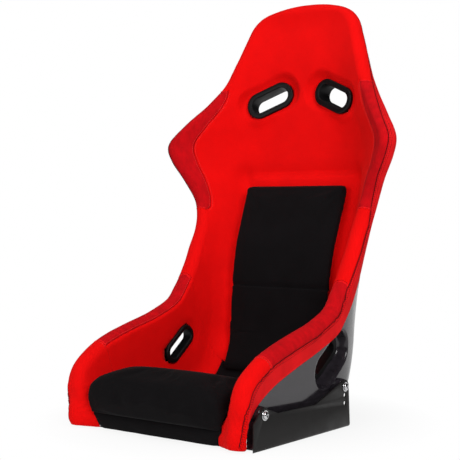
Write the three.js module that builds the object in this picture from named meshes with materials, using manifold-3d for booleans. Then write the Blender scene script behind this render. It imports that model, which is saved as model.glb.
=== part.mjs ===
// Fixed-back racing bucket seat: a moulded laminate shell, foam-backed fabric panels sewn round its
// rim, two lift-off cushions, four harness guides and a pair of bent steel side brackets.
// Millimetres. +X is the occupant's left, the occupant faces -Y, +Z is up, and z = 0 is the floor
// under the brackets' feet.
import * as THREE from 'three';
import { mergeVertices } from 'three/addons/utils/BufferGeometryUtils.js';
import Module from 'manifold-3d';

const wasm = await Module();
wasm.setup();

// ---------------------------------------------------------------- driving sizes
const PAN_FLOOR = 206; // half width of the shell's floor under the thighs
const BACK_FLOOR = 173; // half width of the shell's back behind the hips
const NECK_FLOOR = 124; // half width of the shell's back between the shoulder slots
const THIGH_CREST = 203; // centre plane to the centre of the thigh bolster's crest
const WAIST_CREST = 205; // the same at the waist, where the sides are closest
const WING_CREST = 275; // the same at the tip of a shoulder wing
const HEAD_CREST = 134; // the same at the widest part of the head rest
const THIGH_RADIUS = 22; // radius of the rolled crest along the thighs
const WING_RADIUS = 18; // radius of the rolled crest round the wings and the head
const LIP_HEIGHT = 40; // the shell's front lip, over the floor
const PAN_HEIGHT = 26; // lowest point of the shell's inner floor
const WING_HEIGHT = 578; // wing tip over the floor
const HEAD_HEIGHT = 866; // centre of the crest over the head
const WING_FORWARD = 132; // the wing tip's crest, along Y

const SHELL_WALL = 4.5; // laminate thickness
const BOND_GAP = 1.5; // glue line between the shell and the padding
const BAND_PADDING = 3; // padding on the outside of the rim
const BAND_HEM = 1.8; // padding left where the band ends
const HEM_EASE = 0.8; // how far the band's hem stands off the shell, beyond the glue line
const SEAM_GAP = 0.6; // gap between two panels along a seam
const HIDDEN_GAP = 4; // the same along the seam that the seat cushion hides
const SEAM_DEPTH = 1.6; // how far a panel's edge is pulled down by its seam
const CONTACT = 0.3; // clearance between parts that touch

const PAN_PADDING = 9;
const BACK_PADDING = 12;
const LUMBAR_PADDING = 48; // the same at its thickest, behind the small of the back
const HEAD_PADDING = 40;
const BOLSTER_FOOT = 36; // padding on the inside of the thigh wall, at its foot
const HIP_FOOT = 28;
const BACK_FOOT = 16;
const BAND_LENGTH = 30; // how far the padding wraps down the outside of the rim
const NOSE_BAND = 11; // the same at the nose, beside the bracket
const TRIM_DEPTH = 40; // how far the wing trim reaches in beyond the rolled crest, at its middle

const SEAT_CUSHION_FRONT = 70; // cushion thickness at its front roll
const SEAT_CUSHION_REAR = 28;
const SEAT_CUSHION_HALF = PAN_FLOOR - BOLSTER_FOOT; // it fills the room between the bolsters
const SEAT_CUSHION_CROWN = 5;
const BACK_CUSHION_THICK = 24;
const BACK_CUSHION_TOP_HALF = 132;
const BACK_CUSHION_BOTTOM_HALF = 126;
const BACK_CUSHION_CORNER = 14; // corner radius in plan
const CHANNEL_DEPTH = 7; // the sewn channel across the back cushion
const CUSHION_EDGE = 7; // height of a cushion's side wall at its foot
const STRIP_THICK = 1.2; // one half of a hook-and-loop strip
const STRIP_HALF = 12.5;
const STRIP_OFFSET = 70; // centre plane to a strip's centre line

const GUIDE_LENGTH = 128; // shoulder guide, over its front ring
const GUIDE_WIDTH = 60;
const GUIDE_HOLE_LENGTH = 90;
const GUIDE_HOLE_WIDTH = 35;
const GUIDE_SLANT = 24; // degrees: its outer end is the lower one
const GUIDE_TILT = 11; // degrees: it faces in, towards the centre plane
const LAP_GUIDE_LENGTH = 112;
const LAP_GUIDE_WIDTH = 46;
const LAP_HOLE_LENGTH = 82;
const LAP_HOLE_WIDTH = 26;
const LAP_SLANT = 36; // degrees: it rises to the rear
const RING_HEIGHT = 7; // front ring of a guide, over its seat
const REAR_RING_HEIGHT = 5;
const RING_BEVEL = 2;
const SLEEVE_WALL = 2.6; // wall of the sleeve that lines the slot
const RING_SINK = 2; // how far the front ring is pulled into the padding
const LAP_PADDING = 8; // padding left over the recess moulded into the flank round each lap slot
const RECESS_MARGIN = 6; // room in that recess round the outer ring

const BRACKET_PLATE = 3;
const BRACKET_FOOT = 36; // width of the foot, from the plate's outside
const BRACKET_BEND = 6; // outside radius of the bend
const BRACKET_FRONT = -254;
const BRACKET_REAR = 68;
const FOOT_FRONT = -232; // the foot stops short of the nose
const BRACKET_WAIST = 60; // height of the plate between its ears
const EAR_RADIUS = 14;
const REAR_BOLT = { y: 49, z: 81 };
const FRONT_BOLT = { y: -222, z: 64 };
const HEIGHT_STEP = 16; // pitch of the height-adjusting holes under the rear bolt
const HEIGHT_HOLES = 2;
const FOOT_SLOT_LENGTH = 26;
const FOOT_SLOT_WIDTH = 8.5;
const FOOT_SLOTS = [-190, 40]; // along Y
const BOLT_RADIUS = 4;
const BOLT_CLEARANCE = 0.4;
const BOLT_HEAD_RADIUS = 7;
const BOLT_HEAD_HEIGHT = 4.4;
const BOLT_REACH = 9.2; // shank length inside the insert
const SOCKET_RADIUS = 2.9;
const SOCKET_DEPTH = 2.4;
const WASHER_RADIUS = 9.5;
const WASHER_THICK = 1.6;
const INSERT_RADIUS = 6.5;
const INSERT_LENGTH = 9;
const BOSS_RADIUS = 15; // moulded pad on the shell's flank, round each insert
const SKIRT = { inside: 204, front: -241, rear: -208, low: 7, high: 54 }; // the pad behind the nose, run down

// ---------------------------------------------------------------- the shell's lines
// Each station gives the spine point on the shell's inner face (y, z), the half width of the floor
// and its corner radius, the centre of the rolled crest (cx, cy, cz) and its radius, the padding on
// the centre line and at the foot of the wall, and how far the band wraps down the outside.
const STATIONS = [
  // the lip's underside, then up over the lip and back along the pan
  [-244, 1.5, PAN_FLOOR - 44, 18, THIGH_CREST - 8, -264, 4, THIGH_RADIUS - 2, PAN_PADDING, 36, NOSE_BAND],
  [-257, 20, PAN_FLOOR - 30, 24, THIGH_CREST - 3, -265, 37, THIGH_RADIUS - 1, PAN_PADDING, 40, NOSE_BAND],
  [-242, LIP_HEIGHT, PAN_FLOOR - 12, 30, THIGH_CREST, -262, 74, THIGH_RADIUS, PAN_PADDING, BOLSTER_FOOT, 23],
  [-212, 44, PAN_FLOOR - 3, 34, THIGH_CREST, -243, 112, THIGH_RADIUS, PAN_PADDING, BOLSTER_FOOT, 31],
  [-165, 40, PAN_FLOOR, 38, THIGH_CREST, -188, 147, THIGH_RADIUS, PAN_PADDING, BOLSTER_FOOT, 36],
  [-100, 33, PAN_FLOOR, 40, THIGH_CREST, -112, 171, THIGH_RADIUS, PAN_PADDING, BOLSTER_FOOT, 34],
  [-30, 28, PAN_FLOOR, 42, THIGH_CREST, -40, 189, THIGH_RADIUS, PAN_PADDING, BOLSTER_FOOT, BAND_LENGTH],
  [40, PAN_HEIGHT, PAN_FLOOR, 48, THIGH_CREST, 28, 215, THIGH_RADIUS, PAN_PADDING, BOLSTER_FOOT, BAND_LENGTH],
  // round the hip corner
  [98, 38, PAN_FLOOR - 6, 58, THIGH_CREST, 60, 246, THIGH_RADIUS, PAN_PADDING + 3, 34, BAND_LENGTH],
  [142, 84, BACK_FLOOR + 14, 70, THIGH_CREST, 82, 274, THIGH_RADIUS, LUMBAR_PADDING - 20, HIP_FOOT, BAND_LENGTH],
  // up the back
  [164, 150, BACK_FLOOR + 4, 76, THIGH_CREST, 100, 302, THIGH_RADIUS, LUMBAR_PADDING - 5, 24, BAND_LENGTH],
  [178, 220, BACK_FLOOR, 74, WAIST_CREST, 118, 336, 21, LUMBAR_PADDING, 20, BAND_LENGTH],
  [196, 290, BACK_FLOOR, 66, WAIST_CREST, 138, 374, 20, LUMBAR_PADDING - 2, BACK_FOOT, BAND_LENGTH],
  [216, 360, BACK_FLOOR - 1, 60, WAIST_CREST + 5, 152, 412, 19, BACK_PADDING + 22, BACK_FOOT, BAND_LENGTH],
  [233, 425, BACK_FLOOR - 4, 56, WAIST_CREST + 15, 157, 450, WING_RADIUS, BACK_PADDING + 13, BACK_FOOT, BAND_LENGTH],
  [243, 480, BACK_FLOOR - 8, 56, WING_CREST - 33, 145, 496, WING_RADIUS, BACK_PADDING + 6, BACK_FOOT, BAND_LENGTH],
  [247, 530, BACK_FLOOR - 13, 60, WING_CREST - 7, 133, 540, WING_RADIUS, BACK_PADDING + 1, BACK_FOOT, BAND_LENGTH],
  [248, 575, BACK_FLOOR - 21, 62, WING_CREST, WING_FORWARD, WING_HEIGHT, WING_RADIUS, BACK_PADDING, BACK_FOOT, BAND_LENGTH],
  [247, 620, NECK_FLOOR + 16, 60, WING_CREST - 31, 155, WING_HEIGHT + 44, WING_RADIUS, BACK_PADDING, BACK_FOOT, BAND_LENGTH],
  [248, 660, NECK_FLOOR, 54, HEAD_CREST + 70, 190, 668, WING_RADIUS, BACK_PADDING + 1, BACK_FOOT, BAND_LENGTH],
  [254, 705, NECK_FLOOR - 16, 48, HEAD_CREST + 40, 213, 710, WING_RADIUS, 19, BACK_FOOT, 28],
  [264, 755, NECK_FLOOR - 26, 44, HEAD_CREST + 20, 226, 757, WING_RADIUS, 31, 14, 26],
  // from here the sections fan round one point, up and over the head
  [277, 800, NECK_FLOOR - 38, 40, HEAD_CREST, 240, 806, WING_RADIUS, HEAD_PADDING, 12, 24],
  [277, 800, 78, 36, HEAD_CREST - 16, 248, HEAD_HEIGHT - 28, WING_RADIUS, HEAD_PADDING, 12, 24],
  [277, 800, 66, 30, HEAD_CREST - 42, 253, HEAD_HEIGHT - 9, WING_RADIUS, HEAD_PADDING, 12, 24],
  [277, 800, 50, 24, HEAD_CREST - 84, 256, HEAD_HEIGHT - 1, WING_RADIUS, HEAD_PADDING, 12, 24],
  [277, 800, 40, 22, 0, 257, HEAD_HEIGHT, WING_RADIUS, HEAD_PADDING, 12, 24],
];
const FAN = 22; // the station where the fan starts
const TOP = STATIONS.length - 1;
const CREST_X = 4; // the column that changes sign across the centre plane

// Where one panel stops and the next begins, counted in stations.
const NOSE_SEAM = 3.9;
const HIP_SEAM = 8.7;
const TRIM_START = 13.35;
const TRIM_END = 19.7;
// Where the seams run across a section. 0 to 1 is the floor, 1 to 2 its corner, 2 to 3 the wall,
// 3 to 4 the rolled crest and 4 to 5 the band outside.
const PAN_SEAM = 1.35;
const CREST_SEAM = 3.15;
const BAND_SEAM = 3.78;
const THIGH_SEAM_OUT = 0.22; // how much further out the band's seam runs along the thighs
const WING_SEAM_IN = 0.34; // how much further in it runs over the shoulder wings
const BAND_END = 5;

const rad = THREE.MathUtils.degToRad;
const lerp = THREE.MathUtils.lerp;

// Smooth curve through the stations. Over the head the next station is the last one's mirror image.
function stationAt(u) {
  const i = Math.min(Math.floor(u), TOP - 1);
  const t = u - i;
  const get = (k, c) => {
    if (k < 0) return 2 * STATIONS[0][c] - STATIONS[1][c];
    if (k <= TOP) return STATIONS[k][c];
    return STATIONS[2 * TOP - k][c] * (c === CREST_X ? -1 : 1);
  };
  return STATIONS[0].map((_, c) => {
    const [a, b, d, e] = [get(i - 1, c), get(i, c), get(i + 1, c), get(i + 2, c)];
    const cubic = -a + 3 * b - 3 * d + e;
    return 0.5 * (2 * b + (d - a) * t + (2 * a - 5 * b + 4 * d - e) * t * t + cubic * t * t * t);
  });
}

// The frame and the measures of one section. Points in it are (along the floor, off the floor).
function section(u) {
  const [y, z, floor, corner, cx, cy, cz, radius, thick, foot, band] = stationAt(u);
  const inFan = u >= FAN;
  const pole = STATIONS[FAN];
  const padding = inFan ? HEAD_PADDING : thick;
  const origin = new THREE.Vector3(0, inFan ? pole[0] : y, inFan ? pole[1] : z);
  const crest = new THREE.Vector3(cx, cy, cz);
  const toCrest = crest.clone().sub(origin);
  const normal = inFan
    ? new THREE.Vector3(0, pole[5] - pole[0], pole[6] - pole[1]).normalize()
    : new THREE.Vector3(0, toCrest.y, toCrest.z).normalize();
  const height = toCrest.dot(normal);
  const along = toCrest.clone().addScaledVector(normal, -height);
  const reach = along.length();
  along.normalize();
  const knee = new THREE.Vector2(floor, 0);
  const centre = new THREE.Vector2(reach, height);
  // The wall runs from the knee past the crest's centre, so that shell and padding end on the roll.
  const inset = radius - SHELL_WALL - BOND_GAP - BAND_PADDING;
  const wall = turned(centre.clone().sub(knee), -Math.asin(inset / centre.distanceTo(knee)));
  const out = new THREE.Vector2(wall.y, -wall.x);
  const rim = centre.clone().addScaledVector(out, inset);
  const padKnee = new THREE.Vector2(floor - foot * Math.max(0.3, out.x), padding);
  const lean = Math.asin(Math.min(0.9, radius / centre.distanceTo(padKnee)));
  const padWall = turned(centre.clone().sub(padKnee), lean);
  const padOut = new THREE.Vector2(padWall.y, -padWall.x);
  const padRim = centre.clone().addScaledVector(padOut, -radius);
  return { origin, along, normal, knee, corner, centre, radius, wall, out, rim,
    padKnee, padWall, padOut, padRim, padding, band };
}

function turned(vector, angle) {
  return vector.normalize().rotateAround(new THREE.Vector2(), angle);
}

// A floor, a rounded corner and a wall, for q from 0 to 3.
function trough(start, knee, top, corner, q) {
  const wall = top.clone().sub(knee);
  const turn = Math.min(corner, wall.length() * 0.6, knee.x * 0.8);
  const before = new THREE.Vector2(knee.x - turn, knee.y);
  const after = knee.clone().addScaledVector(wall.clone().normalize(), turn);
  if (q <= 1) return start.clone().lerp(before, q);
  if (q <= 2) {
    const t = q - 1;
    return before.clone().lerp(knee, t).lerp(knee.clone().lerp(after, t), t);
  }
  return after.lerp(top, q - 2);
}

function shellLine(s, q) {
  return trough(new THREE.Vector2(0, 0), s.knee, s.rim, s.corner, q);
}

// The direction off the shell's inner face, towards the occupant.
function shellNormal(s, q) {
  const step = 0.02;
  const low = shellLine(s, Math.max(0, q - step));
  const tangent = shellLine(s, Math.min(3, q + step)).sub(low).normalize();
  return new THREE.Vector2(-tangent.y, tangent.x);
}

function shellOuter(s, q) {
  return shellLine(s, q).addScaledVector(shellNormal(s, q), -SHELL_WALL);
}

// The padding's back: along the shell's inner face, round its rim and down its outside.
function padUnder(s, q) {
  if (q <= 3) return shellLine(s, q).addScaledVector(shellNormal(s, q), BOND_GAP);
  const middle = s.rim.clone().addScaledVector(s.out, SHELL_WALL / 2);
  const bend = SHELL_WALL / 2 + BOND_GAP;
  const angle = Math.PI * (1 - Math.min(q - 3, 1));
  middle.addScaledVector(s.out, bend * Math.cos(angle));
  middle.addScaledVector(s.wall, bend * Math.sin(angle));
  const down = Math.max(0, q - 4);
  return middle.addScaledVector(s.wall, -s.band * down).addScaledVector(s.out, HEM_EASE * down);
}

// The padding's face, from the centre line over the rolled crest and down the band.
function padFace(s, q) {
  if (q <= 3) {
    const start = new THREE.Vector2(0, s.padding);
    return trough(start, s.padKnee, s.padRim, s.corner * 0.9, q);
  }
  if (q <= 4) {
    const from = Math.atan2(-s.padOut.y, -s.padOut.x);
    const first = from < 0 ? from + 2 * Math.PI : from;
    const angle = lerp(first, Math.atan2(s.out.y, s.out.x), q - 3);
    return new THREE.Vector2(Math.cos(angle), Math.sin(angle)).multiplyScalar(s.radius).add(s.centre);
  }
  const thin = (BAND_PADDING - BAND_HEM) * (q - 4);
  const edge = s.centre.clone().addScaledVector(s.out, s.radius - thin);
  return edge.addScaledVector(s.wall, -s.band * (q - 4));
}

function toSpace(s, point) {
  return s.origin.clone().addScaledVector(s.along, point.x).addScaledVector(s.normal, point.y);
}

// ---------------------------------------------------------------- solids from grids
// A mesh builder that welds what coincides and drops triangles that fold flat.
class Surface {
  constructor() {
    this.points = [];
  }
  quad(a, b, c, d) {
    this.points.push(a, b, c, a, c, d);
  }
  grid(rows, flip) {
    for (let i = 0; i + 1 < rows.length; i++) {
      for (let j = 0; j + 1 < rows[i].length; j++) {
        const [a, b, c, d] = [rows[i][j], rows[i][j + 1], rows[i + 1][j + 1], rows[i + 1][j]];
        if (flip) this.quad(a, d, c, b);
        else this.quad(a, b, c, d);
      }
    }
  }
  // The same surface, and its mirror image across the centre plane.
  mirrored() {
    const twin = new Surface();
    for (let i = 0; i < this.points.length; i += 3) {
      const [a, b, c] = this.points.slice(i, i + 3).map((p) => p.clone().setX(-p.x));
      twin.points.push(a, c, b);
    }
    return twin;
  }
  plus(other) {
    const sum = new Surface();
    sum.points = this.points.concat(other.points);
    return sum;
  }
  solid() {
    return solidOf(new THREE.BufferGeometry().setFromPoints(this.points));
  }
}

// A closed geometry as a solid with its faces pointing out.
function solidOf(geometry) {
  const bare = geometry.clone();
  bare.deleteAttribute('normal');
  bare.deleteAttribute('uv');
  const welded = mergeVertices(bare, 1e-3);
  const p = welded.getAttribute('position');
  const corner = (i) => new THREE.Vector3().fromBufferAttribute(p, i);
  const kept = [];
  let volume = 0;
  for (let i = 0; i < welded.index.count; i += 3) {
    const [a, b, c] = [0, 1, 2].map((k) => welded.index.getX(i + k));
    if (a === b || b === c || c === a) continue;
    kept.push([a, b, c]);
    volume += corner(a).dot(corner(b).cross(corner(c)));
  }
  const facing = volume < 0 ? kept.map(([a, b, c]) => [a, c, b]) : kept;
  return new wasm.Manifold(new wasm.Mesh({
    numProp: 3,
    vertProperties: new Float32Array(p.array),
    triVerts: new Uint32Array(facing.flat()),
  }));
}

function geometryOf(solid) {
  const mesh = solid.getMesh();
  const points = [];
  for (const v of mesh.triVerts) {
    const at = v * mesh.numProp;
    points.push(new THREE.Vector3(...mesh.vertProperties.slice(at, at + 3)));
  }
  const geometry = new THREE.BufferGeometry().setFromPoints(points);
  geometry.computeVertexNormals();
  return geometry;
}

// The closed surface between a face and a back, both given as rows of points.
function between(face, back, ends) {
  const surface = new Surface();
  surface.grid(face, false);
  surface.grid(back, true);
  const last = face.length - 1;
  const side = face[0].length - 1;
  const column = (rows, j) => rows.map((row) => row[j]);
  // Opposite edges are split along the same diagonal, so two neighbours' edges lie side by side.
  if (ends.start) surface.grid([back[0], face[0]], false);
  if (ends.end) surface.grid([back[last], face[last]], true);
  if (ends.inner) surface.grid([column(back, 0), column(face, 0)], true);
  if (ends.outer) surface.grid([column(back, side), column(face, side)], false);
  return surface;
}

// ---------------------------------------------------------------- the sewn panels
// Whole stations on the straighter stretches, half stations on the bends.
const isBend = (u) => u < 4 || (u > 7 && u < 10) || u > 13;
const FREE_ROWS = Array.from({ length: 2 * TOP + 1 }, (_, i) => i / 2)
  .filter((u) => Number.isInteger(u) || isBend(u));
const SEAM_ROWS = [NOSE_SEAM, HIP_SEAM, TRIM_START, TRIM_END];
const SEAM_STEP = 0.012; // half of a seam's gap, in stations, at about 45 mm a station
const CLEAR = 0.2; // half steps closer than this to a seam are left out

// The rows from one seam to another, a little short of each so that neighbours stay apart.
function rowsBetween(from, to) {
  const seams = SEAM_ROWS.filter((seam) => seam > from && seam < to);
  const edges = seams.flatMap((seam) => {
    const crossing = seam === TRIM_START || seam === TRIM_END;
    return [seam - SEAM_STEP, ...(crossing ? [seam] : []), seam + SEAM_STEP];
  });
  const free = FREE_ROWS.filter((u) => u > from && u < to);
  const clear = free.filter((u) => SEAM_ROWS.every((seam) => Math.abs(u - seam) > CLEAR));
  const start = from > 0 ? from + SEAM_STEP : from;
  const end = to < TOP ? to - SEAM_STEP : to;
  return [start, ...clear, ...edges, end].sort((a, b) => a - b);
}

// The seam between the covers and the band: lower along the thighs, further in over the wings.
function bandSeam(u) {
  const swell = (from, to) => Math.sin(Math.PI * THREE.MathUtils.clamp((u - from) / (to - from), 0, 1));
  return BAND_SEAM + THIGH_SEAM_OUT * swell(1.5, 8.5) - WING_SEAM_IN * Math.pow(swell(12.6, 21), 0.7);
}

// The inner edge of the wing trim: it crosses the crest at each end and swells in between.
function trimEdge(u) {
  const t = (u - TRIM_START) / (TRIM_END - TRIM_START);
  if (u === TRIM_START || u === TRIM_END) return (3 + bandSeam(u)) / 2;
  if (t < 0 || t > 1) return bandSeam(u);
  const s = section(u);
  const wallLength = s.padRim.distanceTo(s.padKnee) - s.corner * 0.9;
  return 3 - (TRIM_DEPTH / wallLength) * Math.pow(Math.sin(Math.PI * t), 0.8);
}

// A seam's half gap as a step across the section.
function acrossStep(s, q, gap = SEAM_GAP) {
  const a = padFace(s, q - 0.05);
  return (gap / 2) * (0.1 / a.distanceTo(padFace(s, q + 0.05)));
}

// One half of a panel: rows along the seat, columns across it, edges pulled down at the seams.
function panel(rows, columns, ends) {
  const face = [];
  const back = [];
  rows.forEach((u, i) => {
    const s = section(u);
    const across = columns(u, s);
    const atEnd = (i === 0 && ends.start) || (i === rows.length - 1 && ends.end);
    face.push(across.map((q, j) => {
      const atSide = (j === 0 && ends.inner) || (j === across.length - 1 && ends.outer);
      const top = padFace(s, q);
      const under = padUnder(s, q);
      const pull = atEnd || atSide ? SEAM_DEPTH / top.distanceTo(under) : 0;
      return toSpace(s, top.lerp(under, Math.min(pull, 0.5)));
    }));
    back.push(across.map((q) => toSpace(s, padUnder(s, q))));
  });
  return between(face, back, ends);
}

const steps = (from, to, count) => Array.from({ length: count + 1 }, (_, i) => lerp(from, to, i / count));

const TROUGH = [0, 1, 1.35, 1.7, 2];
const panColumns = (u, s) => [...TROUGH.filter((q) => q < PAN_SEAM), PAN_SEAM - acrossStep(s, PAN_SEAM, HIDDEN_GAP)];
const noseColumns = (u, s) => [PAN_SEAM + acrossStep(s, PAN_SEAM, HIDDEN_GAP), 1.7, 2, 2.5,
  ...steps(3, bandSeam(u) - acrossStep(s, bandSeam(u)), 4)];
const sideColumns = (u, s) => [PAN_SEAM + acrossStep(s, PAN_SEAM, HIDDEN_GAP), 1.7, 2, 2.45, 2.8, 3,
  CREST_SEAM - acrossStep(s, CREST_SEAM)];
const thighColumns = (u, s) => steps(CREST_SEAM + acrossStep(s, CREST_SEAM),
  bandSeam(u) - acrossStep(s, bandSeam(u)), 4);
const backColumns = (u, s) => [...TROUGH, ...steps(2, trimEdge(u) - acrossStep(s, trimEdge(u)), 5).slice(1)];
const wingColumns = (u, s) => {
  const edge = trimEdge(u) + acrossStep(s, trimEdge(u));
  const outer = bandSeam(u) - acrossStep(s, bandSeam(u));
  return [edge, ...steps(Math.max(3, edge + 0.1), outer, 4)];
};
const bandColumns = (u, s) => {
  const inner = bandSeam(u) + acrossStep(s, bandSeam(u));
  return [inner, lerp(inner, 4.5, 0.45), 4.5, BAND_END];
};

const ALL_ENDS = { start: true, end: true, inner: true, outer: true };
const lapRows = rowsBetween(NOSE_SEAM, HIP_SEAM);
const upperRows = rowsBetween(HIP_SEAM, TOP);
const trimRows = rowsBetween(TRIM_START, TRIM_END);

const panPanel = panel(rowsBetween(0, HIP_SEAM), panColumns, { ...ALL_ENDS, inner: false });
const nosePanel = panel(rowsBetween(0, NOSE_SEAM), noseColumns, ALL_ENDS);
const sidePanel = panel(lapRows, sideColumns, ALL_ENDS);
const thighPanel = panel(lapRows, thighColumns, ALL_ENDS);
const backPanel = panel(upperRows, backColumns, { start: true, outer: true });
const wingPanel = panel(trimRows, wingColumns, ALL_ENDS);
const lowerBand = panel(rowsBetween(0, HIP_SEAM), bandColumns, ALL_ENDS);
const upperBand = panel(upperRows, bandColumns, { start: true, inner: true, outer: true });

// ---------------------------------------------------------------- the shell
const SHELL_COLUMNS = [...TROUGH, 2.5, 3];

function shellBody() {
  const rows = rowsBetween(0, TOP).map(section);
  const inner = rows.map((s) => SHELL_COLUMNS.map((q) => toSpace(s, shellLine(s, q))));
  const outer = rows.map((s) => SHELL_COLUMNS.map((q) => toSpace(s, shellOuter(s, q))));
  const half = between(inner, outer, { start: true, outer: true });
  return half.plus(half.mirrored()).solid();
}

// Everything inside the shell, from the middle of its wall inwards, to trim pads moulded outside.
function shellRoom() {
  const depth = 90;
  const rows = rowsBetween(0, TOP).map(section);
  const skin = rows.map((s) => SHELL_COLUMNS.map((q) => {
    const middle = shellLine(s, q).addScaledVector(shellNormal(s, q), -SHELL_WALL / 2);
    return toSpace(s, middle);
  }));
  const air = rows.map((s) => SHELL_COLUMNS.map((q) => {
    const inside = shellLine(s, q);
    const floor = new THREE.Vector2(inside.x * 0.5, inside.y * 0.4 + depth * 0.5);
    return toSpace(s, floor);
  }));
  const half = between(air, skin, { start: true, outer: true });
  return half.plus(half.mirrored()).solid();
}

// ---------------------------------------------------------------- cushions and strips
// The height of the padding's face over the floor line, at a distance from the centre line.
function faceHeight(s, across) {
  const line = SHELL_COLUMNS.map((q) => padFace(s, q));
  const k = Math.max(1, line.findIndex((p) => p.x >= across));
  const [a, b] = [line[k - 1], line[k]];
  return lerp(a.y, b.y, (across - a.x) / (b.x - a.x));
}

// A pad that lies on the covered shell: its back follows the padding, and its face is level across.
function pad(rows, halfWidth, columns, rise) {
  const face = [];
  const back = [];
  for (const u of rows) {
    const s = section(u);
    const half = halfWidth(u);
    const lying = (c) => faceHeight(s, Math.abs(c * half)) + CUSHION_LIFT;
    const level = s.padding + CUSHION_LIFT;
    const top = (c) => Math.max(lying(c) + CUSHION_EDGE, level + rise(u, c));
    back.push(columns.map((c) => toSpace(s, new THREE.Vector2(c * half, lying(c)))));
    face.push(columns.map((c) => toSpace(s, new THREE.Vector2(c * half, top(c)))));
  }
  return between(face, back, ALL_ENDS).solid();
}

// A rounded edge: 0 at the edge, 1 a little way in. Power 2 is a full round, more is squarer.
function shoulder(t, power) {
  return Math.pow(Math.max(0, 1 - Math.pow(Math.min(Math.abs(t), 1), power)), 1 / power);
}

const CROWN_COLUMNS = [-1, -0.985, -0.95, -0.88, -0.72, -0.4, 0, 0.4, 0.72, 0.88, 0.95, 0.985, 1];
const CUSHION_EASE = 0.5; // room for the curve between the rows of a cushion and of its strips
const CUSHION_LIFT = 3 * CONTACT + 2 * STRIP_THICK + CUSHION_EASE;
const SEAT_FRONT = 0.95;
const SEAT_REAR = 7.55;
const BACK_LOW = 8.4;
const BACK_HIGH = 14.98;
const BACK_CHANNEL = 11.3;

function seatCushion() {
  const rows = [SEAT_FRONT, 1.02, 1.2, 1.5, 2, 2.5, 3, 3.5, 4, 5, 6, 6.6, 7.1, 7.4, 7.5, SEAT_REAR];
  const rise = (u, c) => {
    const t = (u - SEAT_FRONT) / (SEAT_REAR - SEAT_FRONT);
    const fall = THREE.MathUtils.clamp((t - 0.36) / 0.6, 0, 1);
    const thick = lerp(SEAT_CUSHION_FRONT, SEAT_CUSHION_REAR, fall);
    const edge = shoulder(c, 10) * shoulder(2 * t - 1, 9);
    return CUSHION_EDGE + (thick - CUSHION_EDGE) * edge + SEAT_CUSHION_CROWN * (1 - c * c) * edge;
  };
  const half = (u) => {
    const t = (u - SEAT_FRONT) / (SEAT_REAR - SEAT_FRONT);
    return SEAT_CUSHION_HALF - 6 * (1 - shoulder(2 * t - 1, 5)) - 3 * Math.sin(Math.PI * t);
  };
  return pad(rows, half, CROWN_COLUMNS, rise);
}

function backCushion() {
  const perStation = 64; // about the height of one station there, for the corner's round
  const rows = [BACK_LOW, 8.5, 8.7, 9, 9.5, 10, 11, BACK_CHANNEL - 0.08, BACK_CHANNEL,
    BACK_CHANNEL + 0.08, 12, 13, 13.5, 14, 14.5, 14.65, 14.8, 14.92, BACK_HIGH];
  const rise = (u, c) => {
    const t = (u - BACK_LOW) / (BACK_HIGH - BACK_LOW);
    const edge = shoulder(c, 8) * shoulder(2 * t - 1, 14);
    const sewn = Math.exp(-(((u - BACK_CHANNEL) / 0.08) ** 2)) * CHANNEL_DEPTH;
    return CUSHION_EDGE + (BACK_CUSHION_THICK - CUSHION_EDGE) * edge - sewn * edge;
  };
  const half = (u) => {
    const t = (u - BACK_LOW) / (BACK_HIGH - BACK_LOW);
    const width = lerp(BACK_CUSHION_BOTTOM_HALF, BACK_CUSHION_TOP_HALF, Math.min(1, t * 1.05));
    const fromTop = (BACK_HIGH - u) * perStation;
    const turn = Math.max(0, 1 - fromTop / BACK_CUSHION_CORNER);
    return width - BACK_CUSHION_CORNER * (1 - Math.sqrt(1 - turn * turn));
  };
  return pad(rows, half, CROWN_COLUMNS, rise);
}

// A hook-and-loop strip lying lengthways on the padding, one thickness over another.
function strip(from, to, layer) {
  const rows = rowsBetween(0, TOP).filter((u) => u >= from && u <= to);
  const lift = CONTACT + layer * (STRIP_THICK + CONTACT);
  const line = (u, height) => {
    const s = section(u);
    const y = s.padding + height;
    return [-STRIP_HALF, STRIP_HALF].map((dx) => toSpace(s, new THREE.Vector2(STRIP_OFFSET + dx, y)));
  };
  const face = rows.map((u) => line(u, lift + STRIP_THICK));
  const back = rows.map((u) => line(u, lift));
  return between(face, back, ALL_ENDS);
}

// ---------------------------------------------------------------- harness guides
// An oblong with round ends, as a shape or as the hole of one.
function oblong(Kind, length, width) {
  const r = width / 2;
  const half = length / 2 - r;
  const path = new Kind();
  path.moveTo(-half, -r);
  path.lineTo(half, -r);
  path.absarc(half, 0, r, -Math.PI / 2, Math.PI / 2, false);
  path.lineTo(-half, r);
  path.absarc(-half, 0, r, Math.PI / 2, 1.5 * Math.PI, false);
  return path;
}

function oblongPrism(length, width, low, high) {
  const depth = high - low;
  const options = { depth, bevelEnabled: false, curveSegments: 4 };
  return new THREE.ExtrudeGeometry(oblong(THREE.Shape, length, width), options).translate(0, 0, low);
}

// A flat ring with its outer edges bevelled on the side that points along +z.
function ring(length, width, holeLength, holeWidth, low, high) {
  const flat = solidOf(oblongPrism(length, width, low, high - RING_BEVEL));
  const shape = oblong(THREE.Shape, length - 2 * RING_BEVEL, width - 2 * RING_BEVEL);
  const bevel = { depth: high - low - 2 * RING_BEVEL, bevelEnabled: true, bevelThickness: RING_BEVEL,
    bevelSize: RING_BEVEL, bevelSegments: 2, curveSegments: 4 };
  const top = new THREE.ExtrudeGeometry(shape, bevel).translate(0, 0, low + RING_BEVEL);
  const hole = solidOf(oblongPrism(holeLength, holeWidth, low - 1, high + 1));
  return flat.add(solidOf(top)).subtract(hole);
}

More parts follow.
